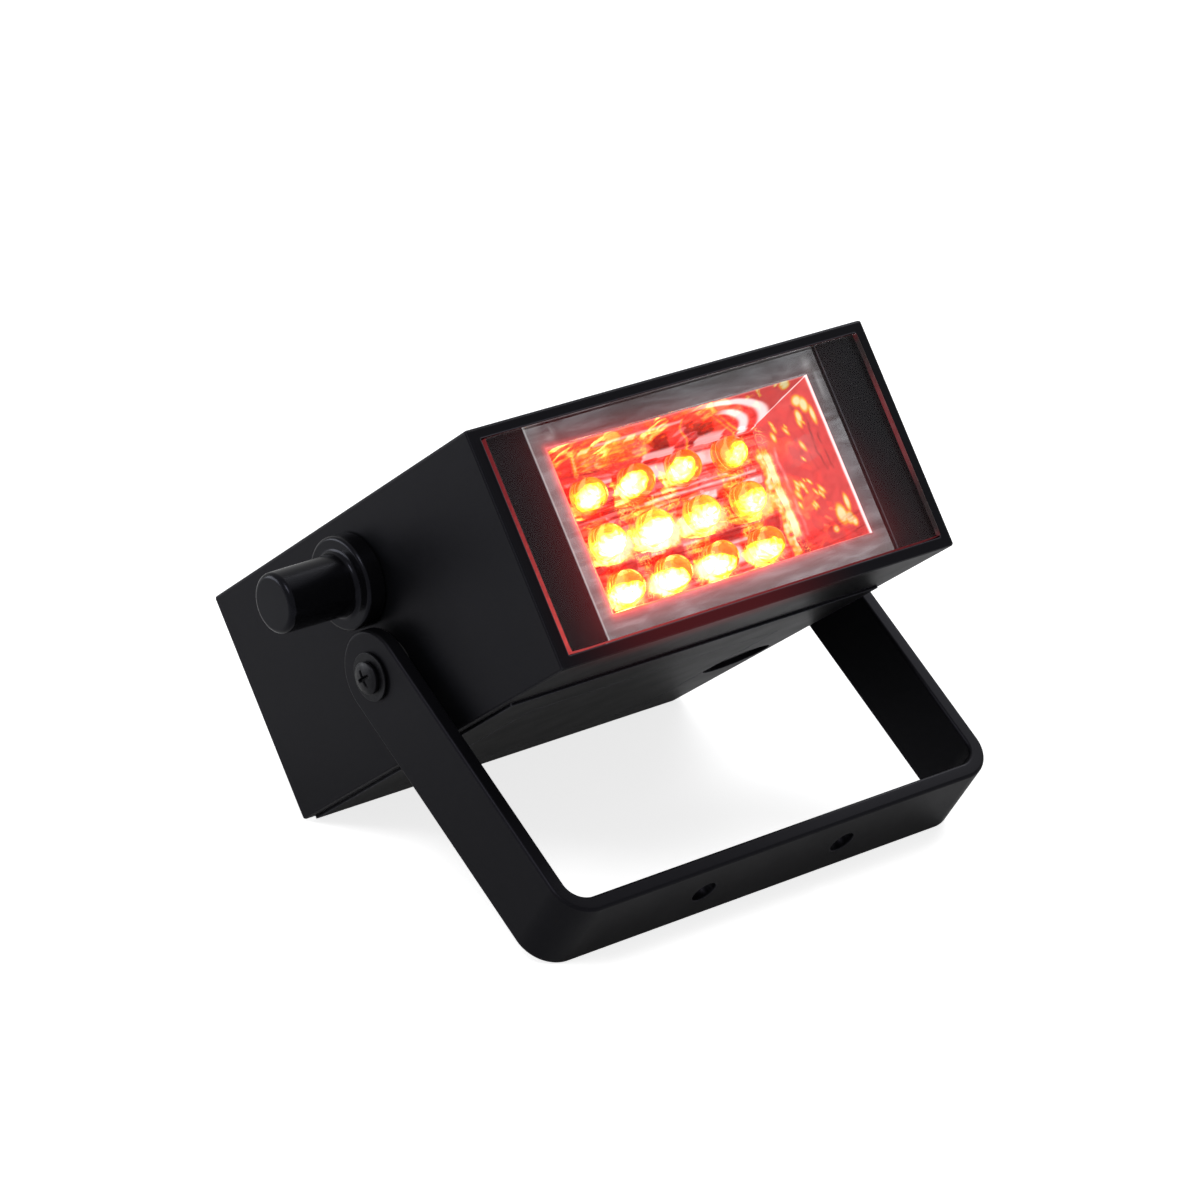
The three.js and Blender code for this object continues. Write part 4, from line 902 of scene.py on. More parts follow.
def specks(a, b, clusters, spread, size, seed):
    """Small slanting lights about the cluster centres, four each: the largest of exp(-d^2), where d is
    the distance in units of a speck's size, and each speck leans by its own slant."""
    draw = np.random.default_rng(seed)
    centres = np.repeat(np.array(clusters), 4, axis=0)
    centres = centres + draw.normal(0, 1, centres.shape) * spread
    wide = draw.uniform(0.5, 1.4, len(centres))
    slant = draw.uniform(-0.03, 0.0, len(centres))
    up = b.reshape(-1, 1) - centres[:, 1]
    across = a.reshape(-1, 1) - centres[:, 0] - slant * up
    light = np.exp(-(across / (size[0] * wide)) ** 2 - (up / (size[1] * wide)) ** 2)
    return light.max(axis=1).reshape(a.shape)


# The painted values of the plating, which paint its lamp light, shade and reflections: lamp light, how far
# its silver is reddened by painted lamp light, dulled, or striped with painted reflections, how much of the
# room it mirrors, which is painted shade where it is low, painted white highlights, and thin curled lines of
# light
LIGHT_WORDS = ("share", "lamp_reddened", "dulled", "striped", "shade", "glint", "webbed")


def unlit(shape):
    """The painted values where no lamp light falls."""
    return {word: np.full(shape, 1.0 if word == "shade" else 0.0) for word in LIGHT_WORDS}


def plating(haze):
    """Vacuum-metallised plastic: a slightly wavy mirror. The red lamp light on it and its reflections are
    painted, as a glow and as a reddened, striped and shaded silver.
    """
    finish, tree, shader, place = new_finish("vacuum_metallised_plastic", {
        "Metallic": 1.0, "Emission Strength": haze})
    made = {word: add_node(tree, "ShaderNodeAttribute", None, "Fac", attribute_name=word)
            for word in LIGHT_WORDS}
    # Smoke-like bands of the flange, and long lines of the floor that are painted reflections, stretched
    # across the head
    smoke, lines = (
        add_node(tree, "ShaderNodeTexNoise", {
            "Scale": 1.0, "Detail": detail, "Distortion": distortion,
            "Vector": add_node(tree, "ShaderNodeMapping", {
                "Rotation": (-LEAN, 0, 0), "Scale": size, "Vector": place}, "Vector",
                vector_type="TEXTURE")}, "Fac")
        for detail, distortion, size in (
            (3.0, 1.2, (0.016, 0.016, 0.0035)), (2.0, 0.4, (0.012, 0.0045, 0.0009))))
    made["ash"] = set_stops(add_node(tree, "ShaderNodeValToRGB", {"Fac": smoke}), [
        (0.35, "#7a787a"), (0.5, "#939296"), (0.68, "#b4b4b8")])
    made["streak"] = set_stops(add_node(tree, "ShaderNodeValToRGB", {"Fac": lines}), [
        (0.36, "#c02a18"), (0.47, "#ff9c90"), (0.57, "#ffffff")])
    cloud = add_node(tree, "ShaderNodeTexNoise", {
        "Scale": 260.0, "Detail": 4.0, "Distortion": 0.8, "Vector": place}, "Fac")
    wobble = add_node(tree, "ShaderNodeMapRange", {
        "Value": cloud, "From Min": 0.3, "From Max": 0.7, "To Min": 0.9, "To Max": 1.05}, "Result")
    level = add_node(tree, "ShaderNodeMath", {0: made["share"], 1: wobble}, "Value", operation="MULTIPLY")
    made["light"] = set_stops(add_node(tree, "ShaderNodeValToRGB", {"Fac": level}), [
        (0.0, "#000000"), (0.22, "#5f0d0b"), (0.4, "#bc302e"), (0.52, "#f04b49"), (0.64, "#fc6f38"),
        (0.8, "#ffbc3f"), (1.0, "#fff3b4")])
    # Thin curled lines of light that the lenses throw on the plating: narrow bands of a noise
    curl = add_node(tree, "ShaderNodeTexNoise", {
        "Scale": 300.0, "Detail": 1.0, "Distortion": 1.4, "Vector": place}, "Fac")
    made["bands"] = set_stops(add_node(tree, "ShaderNodeValToRGB", {"Fac": curl}), [
        (0.45, "#000000"), (0.475, "#ffc860"), (0.5, "#000000"), (0.555, "#000000"), (0.572, "#ffa04c"),
        (0.589, "#000000")])
    # Each mix: the name of its result, the factor, two colours and how they are joined
    for name, factor, first, second, blend in (
            # The silver turns warm red where the painted lamp light reddens it
            ("warm", "lamp_reddened", linear("#f3f1f1"), linear("#ff7a6c"), "MIX"),
            ("silver", "dulled", "warm", "ash", "MIX"), ("plate", "striped", "silver", "streak", "MULTIPLY"),
            ("mirror", 1.0, "plate", "shade", "MULTIPLY"), ("red", "striped", "light", "streak", "MULTIPLY"),
            ("lit", 1.0, "red", "glint", "ADD"), ("web", "webbed", linear("#000000"), "bands", "MIX"),
            ("glow", 1.0, "lit", "web", "ADD")):
        given = [made.get(value, value) for value in (factor, first, second)]
        made[name] = add_node(tree, "ShaderNodeMix", dict(zip(("Factor", "A", "B"), given)), "Result",
                              data_type="RGBA", blend_type=blend)
    feed(shader, {
        "Base Color": made["mirror"],
        "Roughness": uneven(tree, place, 0.04, 0.1, 0.006),
        "Normal": bumped(tree, place, (0.009, 0.0003), (0.003, 0.00006)),
        "Emission Color": made["glow"]})
    return finish


class STROBE_OT_reflector(bpy.types.Operator):
    """Makes the metallised tray: a flange, four sloping wavy walls and a floor with twelve round cups."""
    bl_idname = "strobe.reflector"
    bl_label = "Reflector"

    def execute(self, context):
        s = context.scene.strobe_reflector
        lamps = context.scene.strobe_lamps
        spots = lamp_spots(lamps)
        radius = lamps.radius + CLEARANCE
        window_x, window_z, lines = 0.0054, 0.00455, 25
        # Lines of the floor's grid: many across each lamp's window and a few between them
        across, up = (np.linspace(-half, half, lines) for half in (window_x, window_z))
        x_lines = self.filled([spots[column][2] + across for column in range(4)], -FLOOR_X, FLOOR_X, 0.0006)
        z_lines = self.filled([spots[4 * row][3] + up for row in (2, 1, 0)], FLOOR_LOW, FLOOR_HIGH, 0.0005)
        x, z = np.meshgrid(x_lines, z_lines, indexing="ij")
        rows, columns = x.shape
        near = np.min([np.hypot(x - a, z - b) for _, _, a, b in spots], axis=0)
        edge = np.minimum.reduce([x + FLOOR_X, FLOOR_X - x, z - FLOOR_LOW, FLOOR_HIGH - z])
        # Between the rows the floor rises in a long round ridge, and it dips again beside each lamp
        ridge = -s.cup * (0.5 - 0.5 * np.cos(2 * np.pi * (z - lamps.middle) / lamps.pitch_up)) ** 2
        ripple = s.ripple * waves(x, z * 2.5, (0.006, 0.0035), 5)
        calm = np.clip(edge / 0.002, 0, 1) * np.clip((near - 0.0046) / 0.0015, 0, 1)
        deep = TRAY_FLOOR + (ridge + ripple) * calm
        top = np.stack([x, deep, z], -1).reshape(-1, 3)
        bottom = np.stack([x, np.full_like(x, TRAY_BACK), z], -1).reshape(-1, 3)
        windows = []
        for _, _, a, b in spots:
            r = int(np.argmin(np.abs(x_lines - (a - window_x))))
            c = int(np.argmin(np.abs(z_lines - (b - window_z))))
            windows.append((r, r + lines - 1, c, c + lines - 1))
        faces, rims = pierced(rows, columns, windows)
        # What is joined: points, faces that count from the first of them, and painted values
        joined = [(np.concatenate([top, bottom]), np.concatenate([faces, faces + len(top)]),
                   self.joined_light([self.floor_light(top, spots), unlit(len(bottom))]))]
        for (_, _, a, b), rim in zip(spots, rims):
            upper, lower = top[rim], bottom[rim]
            spoke = unit(upper[:, [0, 2]] - [a, b])
            lip, *hole = (np.insert([a, b] + spoke * (radius + wide), 1, y, axis=1) for wide, y in (
                (0.0002, TRAY_FLOOR + 0.0001), (0.0001, TRAY_FLOOR + 0.0002), (0, TRAY_FLOOR + 0.0004),
                (0, TRAY_BACK)))
            rings = [upper + (lip - upper) * part for part in np.linspace(0, 1, 6)] + hole + [lower]
            points = np.concatenate(rings)
            joined.append((points, grid_faces(len(rings), len(rim), True), self.floor_light(points, spots)))
        # The floor's outline goes on as rings up the walls, over the lip, round the flange and down behind
        border = np.concatenate([
            np.arange(columns - 1), np.arange(rows - 1) * columns + columns - 1,
            (rows - 1) * columns + np.arange(columns - 1, 0, -1), np.arange(rows - 1, 0, -1) * columns])
        walls, light = self.walls(top[border], s.ripple)
        joined.append((walls.reshape(-1, 3), grid_faces(len(walls), len(border), True), light))
        # A post behind each side wall takes a lamp screw: its bore, then its outside
        for side in (-1, 1):
            for corners, radii in (
                    ([(0.0013, 0.0015), (0.0013, -0.0072), (0, -0.0072)], [0.0002]),
                    ([(0, -0.014), (0.0026, -0.014), (0.0026, 0.0015), (0.0013, 0.0015)], [0.0003, 0.0003])):
                post, post_faces = revolved(filleted(corners, radii, 2), 24)
                post = post[:, [1, 0, 2]] + [side * 0.0365, TRAY_BACK, lamps.middle]
                # A post grows out of the back of the sloping side wall, never through it
                slope = TRAY_FLOOR - (TRAY_FLOOR - TRAY_FRONT) * (np.abs(post[:, 0]) - FLOOR_X) / (
                    APERTURE_X - FLOOR_X)
                post[:, 1] = np.maximum(post[:, 1], slope + 0.0006)
                joined.append((post, post_faces, unlit(len(post))))
        starts = np.cumsum([0] + [len(points) for points, _, _ in joined])
        make_piece("metallised_reflector", in_head(np.concatenate([points for points, _, _ in joined])),
                   [faces + start for (_, faces, _), start in zip(joined, starts)], [plating(s.haze)], "head",
                   "reflector", 32, None,
                   self.joined_light([light for _, _, light in joined]))
        return {"FINISHED"}

    def joined_light(self, lights):
        """Painted values of several sets of points, one after the other."""
        return {word: np.concatenate([light[word].ravel() for light in lights]) for word in LIGHT_WORDS}

    def filled(self, groups, low, high, step):
        """Grid lines: the given groups, with lines between them and out to both ends at most a step
        apart."""
        lines = [np.array([low])]
        for group in [*groups, np.array([high])]:
            count = max(int(np.ceil((group[0] - lines[-1][-1]) / step)), 1)
            lines += [np.linspace(lines[-1][-1], group[0], count + 1)[1:-1], group]
        return np.concatenate(lines)

    def walls(self, border, ripple):
        """Rings of points that leave the floor's outline. Each ring is a rectangle: x and z run between
        the floor's rectangle and the next by a share, and the wall is pushed by waves that are still at
        both of its ends."""
        u = border[:, 0] / FLOOR_X
        v = (border[:, 2] - (FLOOR_LOW + FLOOR_HIGH) / 2) / ((FLOOR_HIGH - FLOOR_LOW) / 2)

        def rectangle(half, z0, z1, y):
            return np.stack([u * half, np.full(len(u), y), (z0 + z1) / 2 + v * (z1 - z0) / 2], 1)

        def between(share):
            return (FLOOR_X + (APERTURE_X - FLOOR_X) * share, FLOOR_LOW + (-APERTURE_Z - FLOOR_LOW) * share,
                    FLOOR_HIGH + (APERTURE_Z - FLOOR_HIGH) * share)

        # The foot of the wall turns in a curve out of the floor
        turns = np.radians(np.linspace(0, 80, 8))
        rings = [rectangle(*between(0.1 * np.sin(turn) - 0.1), TRAY_FLOOR - 0.0016 * (1 - np.cos(turn)))
                 for turn in turns]
        shares = [*np.linspace(0.06, 0.92, 48), 0.935, 0.95, 0.96, 0.97, 0.98, 0.99]
        outward = np.stack([np.where(np.abs(u) > 0.999, np.sign(u), 0), np.zeros(len(u)),
                            np.where(np.abs(v) > 0.999, np.sign(v), 0)], 1)
        for share in shares:
            ring = rectangle(*between(share), TRAY_FLOOR - (TRAY_FLOOR - TRAY_FRONT) * share)
            push = ripple * 2.2 * math.sin(math.pi * share) ** 0.5 * waves(
                ring[:, 0] + ring[:, 2], ring[:, 1], (0.009, 0.0045), 11)
            rings.append(ring + outward * push[:, None])
        inner = np.stack(rings)
        # The lip and the flange, as (half width, half height, depth behind the tray's front)
        outer = [rectangle(half, -tall, tall, TRAY_FRONT + deep) for half, tall, deep in (
            (0.0396, 0.0201, 0.0002), (0.0399, 0.0204, 0), (0.0404, 0.0209, 0), (0.041, 0.0215, 0),
            (0.0418, 0.0223, 0), (0.0425, 0.024, 0), (0.0432, 0.0252, 0), (0.0437, 0.02555, 0),
            (0.044, 0.02585, 0.0003), (0.044, 0.02585, 0.0012), (0.0437, 0.02555, 0.0015),
            (0.0412, 0.0217, 0.0015))]
        outer.append(rectangle(FLOOR_X + 0.0015, FLOOR_LOW - 0.0012, FLOOR_HIGH + 0.0012, TRAY_BACK - 0.0003))
        outer.append(rectangle(FLOOR_X, FLOOR_LOW, FLOOR_HIGH, TRAY_BACK))
        outer = np.stack(outer)
        share = np.concatenate([0.05 * np.sin(turns), shares])[:, None]
        return np.concatenate([inner, outer]), self.joined_light([
            self.wall_light(inner, share, u, v), self.flange_light(outer.reshape(-1, 3))])

    def floor_light(self, points, spots):
        """The floor: a wide glow round each lamp, a red band along the left and a yellow one along the right,
        dark squares under the middle row, and pale bands and thin lines between the rows, all painted lamp
        light and painted reflections. Sizes are in millimetres."""
        x, y, z = (points * 1000).T
        glow = np.zeros(len(x))
        for row, column, a, b in spots:
            away = lit_patch(row, column, x - a * 1000, z - b * 1000, 0)
            away = away * (1 + 0.2 * waves(x, z, (3.5, 1.8), 9))
            spread = 0.34 if row == 0 else 0.8
            light = 0.95 * LAMP_POWER[row][column] * np.exp(-np.maximum(away - 0.9, 0) / spread)
            glow = np.maximum(glow, light)
        amber = blots(
            x, z, (-6.5, 9.5, 3.8, 2.2, 0.8), (19.8, 3.8, 3.4, 3.4, 0.8), (-13.6, 2.0, -8.7, 1.6, 0.5),
            (3.0, 4.0, -8.7, 1.6, 0.5), (20.0, 3.6, -8.7, 1.6, 0.5), (25.5, 2.5, 9.5, 3.5, 0.8))
        band = soft(x, 27.6, 29.5) * soft(-z, -13, -7) * (0.86 + 0.5 * waves(x * 0.6, z, (2.6, 1.5), 21))
        dark = blots(x, z, (-18.1, 2.3, -8.6, 1.35, 0.3), (-4.1, 2.5, -8.6, 1.35, 0.3),
                     (11.7, 4.5, -8.6, 1.35, 0.3), (26.2, 2.2, -8.6, 1.35, 0.3))
        pale = blots(
            x, z, (0.2, 2.9, 11.0, 1.4, 0.4), (14.9, 4.3, 10.9, 1.5, 0.4), (10.4, 3.7, 2.0, 0.8, 0.3),
            (25.8, 2.6, 2.1, 0.8, 0.3), (13.2, 1.6, -13.2, 1.9, 0.6), (2.2, 1.5, -3.2, 2.0, 0.6),
            (-17.4, 4.5, 12.0, 0.35, 0.2, 0.8), (10, 17, 4.3, 0.3, 0.2, 0.8), (8, 12, 5.7, 0.25, 0.2, 0.6),
            (-4, 7, -7.4, 0.25, 0.2, 0.7), (13, 5, -10.2, 0.3, 0.2, 0.8))
        pale = pale * (1 + 0.6 * waves(x * 0.4, z, (3, 1.4), 31))
        red = blots(x, z, (-17.6, 3.0, 5.0, 2.6, 0.5))
        fill = amber * (0.74 + 0.3 * waves(x * 0.5, z, (2.4, 1.3), 41))
        share = np.maximum.reduce([0.5 + 0 * x, glow * (1 - red), band, fill, 0.52 * soft(-x, 25.5, 27)])
        share = np.where(x < -25.6, np.minimum(share, 0.56), share) * (1 - 0.12 * dark)
        stripes = 0.9 * (1 - soft(glow, 0.5, 0.85)) * (1 - band) * (1 - pale) - 0.3 * dark
        return {
            **unlit(len(x)), "share": np.where(y > 20.4, 0, share), "lamp_reddened": 0.62 + 0.35 * dark,
            "glint": 0.55 * np.clip(pale, 0, 1) * (1 - dark),
            "shade": 0.7 - 0.5 * dark - 0.3 * soft(-x, 25, 27), "striped": np.clip(stripes, 0, 1),
            "webbed": np.maximum(soft(glow, 0.45, 0.65), amber) * (1 - dark)}

    def wall_light(self, rings, share, u, v):
        """The walls, from foot (0) to lip (1), painted with lamp light and reflections. The right one is
        salmon red with a narrow yellow band at its foot, specks and dark wavy lines, a painted highlight line
        and painted flares where the lamps are mirrored. The top one shows painted reflections of the lamps
        and dark squares, slanting with s = x + 11.4 share, thin gold lines and two white arcs of painted
        reflection, which are bands about an ellipse. Sizes are in millimetres."""
        x, _, z = np.moveaxis(rings, -1, 0) * 1000
        share = share + 0 * x
        right = u > 0.999
        top = (v > 0.999) & ~right

        def by_side(at_right, at_top, elsewhere):
            return np.where(right, at_right, np.where(top, at_top, elsewhere))

        # The right wall
        ragged = np.clip(0.5 + 0.9 * waves(z, share * 9, (5.0, 2.6), 61), 0, 1)
        foot = 1 - soft(share, 0.05, 0.1 + 0.08 * ragged)
        gleam = foot * soft(-z, -14, -6) * soft(z, -16, -12) * (0.85 + 0.25 * ragged)
        dots = specks(share, z, [
            (0.42, -1.6), (0.56, -4.8), (0.36, -8.0), (0.28, 10.8), (0.63, 9.0), (0.24, -4.6)],
            (0.07, 2.2), (0.036, 1.7), 3)
        flares = 1.15 * glows(
            share, z, (0.7, -13.0, 0.1, 3.6), (0.79, -14.6, 0.09, 2.2), (0.83, -11.0, 0.05, 3.2),
            (0.55, -15.6, 0.06, 1.3), (0.84, -15.8, 0.06, 1.8), (0.72, 15.6, 0.1, 2.0),
            (0.79, 14.0, 0.08, 2.8), (0.86, 11.0, 0.05, 3.4), (0.66, 12.0, 0.06, 2.4))
        bend = share + 0.02 * np.sin(z * 0.5) + 0.015 * waves(z, share * 20, (9.0, 5.0), 71)
        wavy = np.clip(np.cos(bend * 60 + 1.5 * waves(z, share * 30, (6.0, 3.0), 72)), 0, 1) ** 3
        wavy = wavy * blots(bend, z, (0.76, 0.13, 6.5, 9.0, 0.05)) * np.clip(
            0.5 + waves(z, share * 30, (7.0, 4.0), 73), 0, 1)
        smoke = blots(share, z, (0.52, 0.2, 4.5, 3.0, 0.08))
        bottom = soft(-z, 13.0, 14.5)
        red = np.maximum.reduce([0.52 - 0.22 * wavy - 0.04 * smoke - 0.05 * bottom, gleam, dots, flares])
        # A thin painted highlight line along the right wall, a little above its foot
        highlight_line = stripe(share - 0.16 - 0.01 * np.sin(z), 0.01, 0.025)
        highlight_line = highlight_line * blots(share, z, (0.16, 0.1, -3, 11, 0.02))
        # The top wall
        round_way = np.hypot((x - 6) / 28, share / 0.93)
        arcs = np.maximum(stripe(round_way - 1, 0.035, 0.07) * soft(x, 2, 14),
                          stripe(round_way - 0.79, 0.03, 0.06) * soft(x, 13, 19))
        s = x + 11.4 * share
        amber = 0.66 + 0.04 * np.sin(s * 1.3) + 0.05 * np.sin(share * 50)
        amber = amber + 0.14 * waves(s, share * 9, (9, 5), 81)
        amber = amber * blots(s, share, (-11.4, 11.2, 0.4, 0.36, 0.1))
        sparks = np.maximum(blots(x, share, (-25.9, 1.6, 0.66, 0.12, 0.1), (-12.0, 1.5, 0.66, 0.12, 0.1)),
                            blots(s, share, (-21.8, 0.5, 0.4, 0.4, 0.3)))
        squares = blots(s, share, (2.2, 4.2, 0.32, 0.22, 0.05), (13.0, 1.7, 0.34, 0.3, 0.05, 0.7),
                        (17.6, 3.0, 0.35, 0.2, 0.05))
        gold = np.maximum(stripe(s - 11.2 - 0.7 * np.sin(share * 9), 0.25, 0.7) * soft(0.86 - share, 0, 0.1),
                          stripe(np.abs(s - 27 + 9 * share) - 0.8, 0.2, 0.6) * soft(0.75 - share, 0, 0.1))
        low_pale = blots(x, share, (2, 4.8, 0.03, 0.09, 0.04), (17.3, 4.2, 0.05, 0.13, 0.05))
        line_pale = blots(x, share, (-10, 13, 0.73, 0.03, 0.03))
        pale = soft(round_way, 1.02, 1.08) * soft(x, 4, 20)
        shown = np.maximum.reduce([0.47 - 0.188 * squares, amber, sparks * 0.97, gold * 0.82]) * (1 - pale)
        plain = (1 - pale) * (1 - arcs)
        lip = soft(share, 0.945, 0.97)
        return {
            **unlit(x.shape), "share": by_side(red, shown, 0.5), "lamp_reddened": by_side(0.85, 0.8 * plain, 0.9),
            "striped": by_side(0.6 * bottom, 0.5 * plain * soft(0.95 - share, 0, 0.2), 0),
            "shade": by_side(0.07, 0.3 + 0.5 * pale - 0.2 * squares, 0.6),
            # Painted highlights along the corner of the top and right walls, the lip and that line, and
            # painted white reflections in the arcs and pale spots
            "glint": 0.9 * ((u > 0.999) & (v > 0.999)) + by_side(
                0.03 + 0.05 * smoke + 0.03 * wavy + 0.3 * highlight_line * ragged + 0.35 * gleam * ragged + lip,
                0.85 * arcs + 0.4 * low_pale + 0.35 * line_pale + 0.12 * lip, 0.12 * lip),
            "webbed": by_side(0.8 * foot, 0.5 * soft(amber, 0.2, 0.5), 0.5)}

    def flange_light(self, points):
        """The flange: dull, with a red halo of painted lamp light that falls off from the aperture, strongest
        at the left and the foot, a painted highlight line down its left edge, pale wisps of painted
        reflection in three corners, painted paler light along its left edge and foot and over its upper
        middle, and painted shade towards its top."""
        x, y, z = (points * 1000).T
        low_left = np.clip(0.62 - x / 70 - z / 55, 0.15, 1)
        halo = 0.75 * low_left * np.exp(-beyond_aperture(points) / 0.0018)
        wisps = glows(x, z, (-37.5, 22.4, 1.5, 0.7), (-36.2, 23.3, 0.6, 0.9), (40.4, 22.5, 1.3, 1.6),
                      (42.0, 17.0, 0.5, 3.5))
        pale = 0.2 * wisps + np.maximum(
            0.03 * soft(x, -40, 30) * soft(z, -6, 21), 0.06 * np.maximum(soft(-x, 38, 41), soft(-z, 19, 22)))
        return {
            **unlit(len(x)), "share": np.where(y > 4.0, 0, halo), "dulled": 1 - 0.2 * soft(-x, 43, 43.8),
            # Painted shade: the flange mirrors less towards its top
            "shade": 1 - 0.3 * soft(z, 12, 20),
            "glint": np.where(y > 3.5, 0, np.maximum(pale, 0.35 * soft(-x, 43.3, 43.8)))}


class STROBE_OT_cells(bpy.types.Operator):
    """Makes the four cells: a jacketed can with a crimped rim and a nub at its positive end."""
    bl_idname = "strobe.cells"
    bl_label = "Cells"

    def execute(self, context):
        can_radius, can_length, nub_length = 0.00725, 0.0493, 0.0505
        pitch, front, height = 0.0152, 0.0487, -0.02
        corners = [
            (0, 0), (0.0052, 0), (0.0056, 0.0004), (can_radius, 0.0004), (can_radius, can_length - 0.0002),
            (0.0056, can_length), (0.0052, can_length - 0.0004), (0.00275, can_length), (0.00275, nub_length),
            (0, nub_length)]
        radii = [0.0003, 0.0001, 0.0005, 0.0004, 0.0001, 0.0001, 0.0002, 0.0005]
        points, faces = revolved(filleted(corners, radii, 4), 64)
        # The jacket covers the can's side and ends. The crimped middles of both ends are bare
        middle = (points[faces[:, 0], 0] + points[faces[:, 2], 0]) / 2
        out = np.hypot(points[faces[:, 0], 1], points[faces[:, 0], 2])
        parts = np.where((out > 0.0055) & (middle > 0.0003), 0, 1)
        finishes = [plain_finish("shrunk_pvc_film"), plain_finish("nickel_plated_steel")]
        for number in range(4):
            # Every second cell lies the other way round
            way, shift = ("y", 0.005) if number % 2 else ("-y", nub_length)
            placed = facing(points, way, ((number - 1.5) * pitch, front + shift, height))
            make_piece(f"jacketed_cell_{number + 1}", placed, [faces], finishes, "head",
                       f"battery_{number + 1}", 40, parts)
        return {"FINISHED"}


INSIDE_FINISHES = {
    "moulded_chip_epoxy": ("timer_ic", "drive_transistor"),
    "shrunk_pvc_film": ("timing_capacitor",),
    "nitrile_rubber": ("friction_washer_left", "friction_washer_right"),
    "pvc_wire_red": ("lamp_lead_red", "power_lead_red"),
    "pvc_wire_black": ("lamp_lead_black", "power_lead_black"),
    "pvc_ribbon_grey": ("pot_ribbon",),
    "zinc_plated_steel": (
        "lamp_screw_left", "lamp_screw_right", "board_screw_1", "board_screw_2", "speed_pot", "pot_washer",
        "pot_nut", "pot_shaft", "pivot_nut_left", "pivot_nut_right"),
    "nickel_plated_steel": (
        "contact_front_left", "contact_front_right", "contact_rear_left", "contact_rear_middle",
        "contact_rear_right"),
}


class STROBE_OT_inside(bpy.types.Operator):
    """Gives the boards, their parts, the potentiometer, the nuts, contacts and leads their finishes."""
    bl_idname = "strobe.inside"
    bl_label = "Inside"

    def execute(self, context):
        mask = solder_mask()
        dress("led_board", mask)
        dress("control_board", mask)
        for finish, nodes in INSIDE_FINISHES.items():
            for node in nodes:
                dress(node, plain_finish(finish))
        return {"FINISHED"}


def pale_floor():
    """Matt studio floor: pale, and seen as white by the camera, by glass and, dimmer, by polish."""
    finish = bpy.data.materials.new("matt_studio_floor")
    finish.use_nodes = True
    tree = finish.node_tree
    tree.nodes.clear()
    path = add_node(tree, "ShaderNodeLightPath")
    level = add_node(tree, "ShaderNodeMath", {
        0: path.outputs["Is Camera Ray"], 1: path.outputs["Is Transmission Ray"]}, "Value",
        operation="MAXIMUM")
    level = add_node(tree, "ShaderNodeMath", {0: level, 1: 0.78}, "Value", operation="MULTIPLY")
    glossy = add_node(tree, "ShaderNodeMath", {0: path.outputs["Is Glossy Ray"], 1: 0.06}, "Value",
                      operation="MULTIPLY")
    level = add_node(tree, "ShaderNodeMath", {0: level, 1: glossy}, "Value", operation="MAXIMUM")
    matt = add_node(tree, "ShaderNodeBsdfDiffuse", {"Color": linear("#e9e9e9")}, "BSDF")
    light = add_node(tree, "ShaderNodeEmission", {"Color": linear("#ffffff"), "Strength": level}, "Emission")
    both = add_node(tree, "ShaderNodeAddShader", {0: matt, 1: light}, "Shader")
    clear = add_node(tree, "ShaderNodeBsdfTransparent", None, "BSDF")
    behind = add_node(tree, "ShaderNodeNewGeometry", None, "Backfacing")
    shown = add_node(tree, "ShaderNodeMixShader", {0: behind, 1: both, 2: clear}, "Shader")
    add_node(tree, "ShaderNodeOutputMaterial", {"Surface": shown})
    return finish


# Each light: name, place, what it looks at, size of its square, watts and colour
SOFTBOXES = (
    ("left_softbox", (-0.62, 0.66, 0.14), (-0.05, 0, 0.05), 0.5, 4.0, "#f9fcff"),
    ("top_softbox", (-0.55, -0.25, 0.85), (0, 0, 0.05), 0.35, 3.0, "#ffffff"),
    ("right_softbox", (0.8, 0.2, 0.75), (0, 0, 0.05), 0.5, 4.0, "#fcfdff"),
)


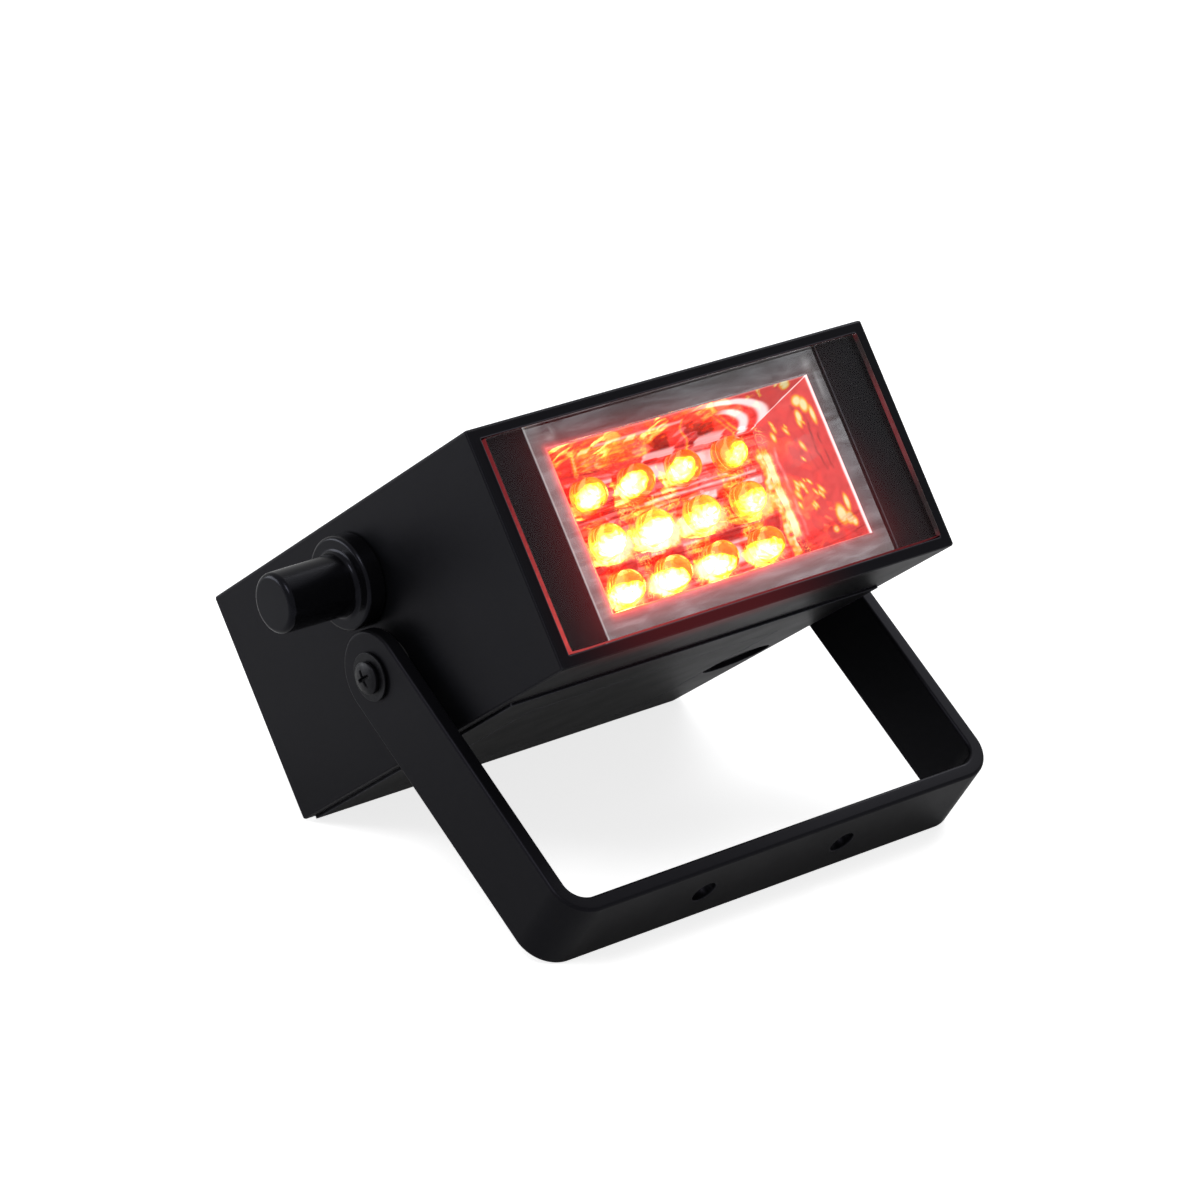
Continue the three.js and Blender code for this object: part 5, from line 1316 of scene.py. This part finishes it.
class STROBE_OT_stage(bpy.types.Operator):
    """Makes the floor, the soft lights, the room light and the camera at the photograph's angle."""
    bl_idname = "strobe.stage"
    bl_label = "Stage"

    def execute(self, context):
        s = context.scene.strobe_stage
        self.floor(s.floor / 2)
        for name, place, target, size, power, colour in SOFTBOXES:
            data = bpy.data.lights.new(name, "AREA")
            data.size = size
            data.energy = power
            data.color = linear(colour)[:3]
            light = bpy.data.objects.new(name, data)
            context.scene.collection.objects.link(light)
            light.visible_transmission = False
            light.location = place
            light.rotation_euler = (Vector(target) - Vector(place)).to_track_quat("-Z", "Y").to_euler()
        self.room(s.daylight)
        camera = bpy.data.objects.new("camera", bpy.data.cameras.new("camera"))
        context.scene.collection.objects.link(camera)
        camera.location = s.camera_place
        camera.rotation_euler = s.camera_turn
        camera.data.lens = s.camera_lens
        camera.data.sensor_width = 36.0
        camera.data.clip_start = 0.05
        camera.data.clip_end = 60.0
        context.scene.camera = camera
        context.scene.view_settings.view_transform = "Standard"
        return {"FINISHED"}

    def floor(self, half):
        """A flat square grid at height 0."""
        steps = np.linspace(-half, half, 3)
        x, y = np.meshgrid(steps, steps, indexing="ij")
        mesh = bpy.data.meshes.new("studio_floor")
        fill_mesh(mesh, np.stack([x, y, 0 * x], -1).reshape(-1, 3), [grid_faces(3, 3)])
        if mesh.polygons[0].normal.z < 0:
            mesh.flip_normals()
        mesh.materials.append(pale_floor())
        floor = bpy.data.objects.new("studio_floor", mesh)
        bpy.context.scene.collection.objects.link(floor)

    def room(self, daylight):
        """Even room light, which the camera sees as plain white."""
        world = bpy.data.worlds.new("studio_room")
        bpy.context.scene.world = world
        world.use_nodes = True
        tree = world.node_tree
        path = add_node(tree, "ShaderNodeLightPath")
        level = add_node(tree, "ShaderNodeMath", {
            0: path.outputs["Is Glossy Ray"], 1: path.outputs["Is Transmission Ray"]}, "Value",
            operation="MAXIMUM")
        level = add_node(tree, "ShaderNodeMath", {0: level, 1: 0.55}, "Value", operation="MULTIPLY")
        for other in (path.outputs["Is Camera Ray"], daylight):
            level = add_node(tree, "ShaderNodeMath", {0: level, 1: other}, "Value", operation="MAXIMUM")
        feed(tree.nodes["Background"], {"Strength": level, "Color": linear("#ffffff")})


GROUPS = {
    "strobe_housing": HousingSizes, "strobe_knob": KnobSizes, "strobe_bracket": BracketSizes,
    "strobe_fasteners": FastenerSizes, "strobe_lamps": LampSizes, "strobe_reflector": ReflectorSizes,
    "strobe_pane": PaneSizes, "strobe_stage": StageSizes,
}
OPERATORS = [
    STROBE_OT_stage, STROBE_OT_housing, STROBE_OT_knob, STROBE_OT_bracket, STROBE_OT_pivots, STROBE_OT_pane,
    STROBE_OT_lamps, STROBE_OT_reflector, STROBE_OT_cells, STROBE_OT_inside,
]


class STROBE_PT_panel(bpy.types.Panel):
    """Lists the operators that make the strobe light, and the sizes and colours that they read."""
    bl_idname = "STROBE_PT_panel"
    bl_label = "Strobe Light"
    bl_space_type = "VIEW_3D"
    bl_region_type = "UI"
    bl_category = "Strobe Light"

    def draw(self, context):
        for operator in OPERATORS:
            self.layout.operator(operator.bl_idname)
        for name, group in GROUPS.items():
            box = self.layout.box()
            box.label(text=name.replace("strobe_", "").capitalize())
            for setting in group.__annotations__:
                box.prop(getattr(context.scene, name), setting)


def register():
    for kind in [*GROUPS.values(), *OPERATORS, STROBE_PT_panel]:
        bpy.utils.register_class(kind)
    for name, group in GROUPS.items():
        setattr(bpy.types.Scene, name, bpy.props.PointerProperty(type=group))


def unregister():
    for name in GROUPS:
        delattr(bpy.types.Scene, name)
    for kind in reversed([*GROUPS.values(), *OPERATORS, STROBE_PT_panel]):
        bpy.utils.unregister_class(kind)


def main():
    register()
    for operator in OPERATORS:
        group, name = operator.bl_idname.split(".")
        getattr(getattr(bpy.ops, group), name)()


if __name__ == "__main__":
    main()
